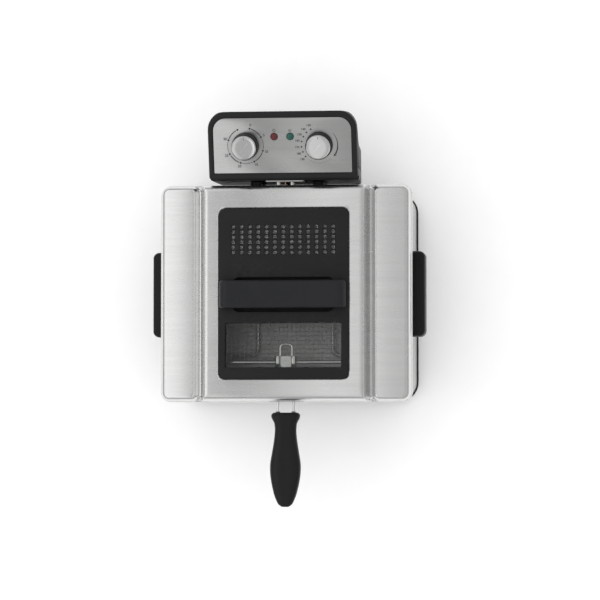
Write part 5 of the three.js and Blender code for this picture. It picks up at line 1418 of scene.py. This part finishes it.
world = bpy.data.worlds.new("studio")
bpy.context.scene.world = world
world.use_nodes = True
world.node_tree.nodes["Background"].inputs["Color"].default_value = (1.0, 1.0, 1.0, 1)
seen = wire_up(world.node_tree, "LightPath", {})
glossy = wire_up(world.node_tree, "MapRange", {"Value": seen.outputs["Is Glossy Ray"], "To Min": 1.2,
    "To Max": 0.46})
world.node_tree.links.new(glossy.outputs["Result"], world.node_tree.nodes["Background"].inputs["Strength"])

lamp = bpy.data.lights.new("left_softbox", "AREA")
lamp.shape, lamp.size, lamp.size_y, lamp.energy = "RECTANGLE", 1.5, 1.8, 5
light = bpy.data.objects.new("left_softbox", lamp)
bpy.context.scene.collection.objects.link(light)
LIGHT_PLACE, LIGHT_AIM = (-1.7, 0.1, 1.9), (0, 0, 0.1)
back = np.array(LIGHT_PLACE, float) - np.array(LIGHT_AIM, float)
back /= np.linalg.norm(back)
light.matrix_world = looking(LIGHT_PLACE, back)
light.visible_camera = light.visible_glossy = False

# Overhead reflection card: a graded panel that is seen only in reflections. Its tones, listed from
# left to right, make most of the lighter and darker bands on the lid.
card_paint, tree, shader = new_finish("card_paint")
CARD_START, CARD_SPAN = -0.5, 0.8
spot = wire_up(tree, "TexCoord", {})
apart = wire_up(tree, "SeparateXYZ", {"Vector": spot.outputs["Object"]})
across = wire_up(tree, "MapRange", {"Value": apart.outputs["X"], "From Min": CARD_START,
    "From Max": CARD_START + CARD_SPAN})
grade = wire_up(tree, "ValToRGB", {"Fac": across.outputs["Result"]})
CARD_TONES = [(-0.5, 1.15), (-0.24, 1.25), (-0.20, 1.2), (-0.172, 0.32), (-0.135, 0.32), (-0.07, 0.62),
    (0.0, 0.90), (0.04, 1.12), (0.06, 0.72), (0.09, 0.64), (0.3, 0.55)]
ramp = grade.color_ramp
for place, tone in CARD_TONES[1:-1]:
    ramp.elements.new((place - CARD_START) / CARD_SPAN)
for stop, (place, tone) in zip(ramp.elements, CARD_TONES):
    stop.position = (place - CARD_START) / CARD_SPAN
    stop.color = (tone, tone, tone, 1)
shader.inputs["Base Color"].default_value = (0, 0, 0, 1)
shader.inputs["Roughness"].default_value = 1.0
tree.links.new(grade.outputs["Color"], shader.inputs["Emission Color"])
shader.inputs["Emission Strength"].default_value = 1.0
CARD_HALF, CARD_Z = 0.9, 0.62
card = flat_panel("card", CARD_HALF, CARD_Z, card_paint, ((-1, -1), (-1, 1), (1, 1), (1, -1)))
card.visible_camera = card.visible_diffuse = card.visible_shadow = card.visible_transmission = False

TARGET = np.array((0.0201, 0.0136, 0.165))
AZIMUTH, ELEVATION, DISTANCE = math.radians(68.24), math.radians(82.87), 4.078
back = np.array((math.sin(AZIMUTH) * math.cos(ELEVATION), -math.cos(AZIMUTH) * math.cos(ELEVATION),
    math.sin(ELEVATION)))
lens = bpy.data.cameras.new("camera")
lens.sensor_width, lens.lens = 36.0, 182.85
lens.clip_start, lens.clip_end = 0.1, 50
camera = bpy.data.objects.new("camera", lens)
bpy.context.scene.collection.objects.link(camera)
camera.matrix_world = looking(TARGET + back * DISTANCE, back)
bpy.context.scene.camera = camera
bpy.context.scene.view_settings.view_transform = "Standard"
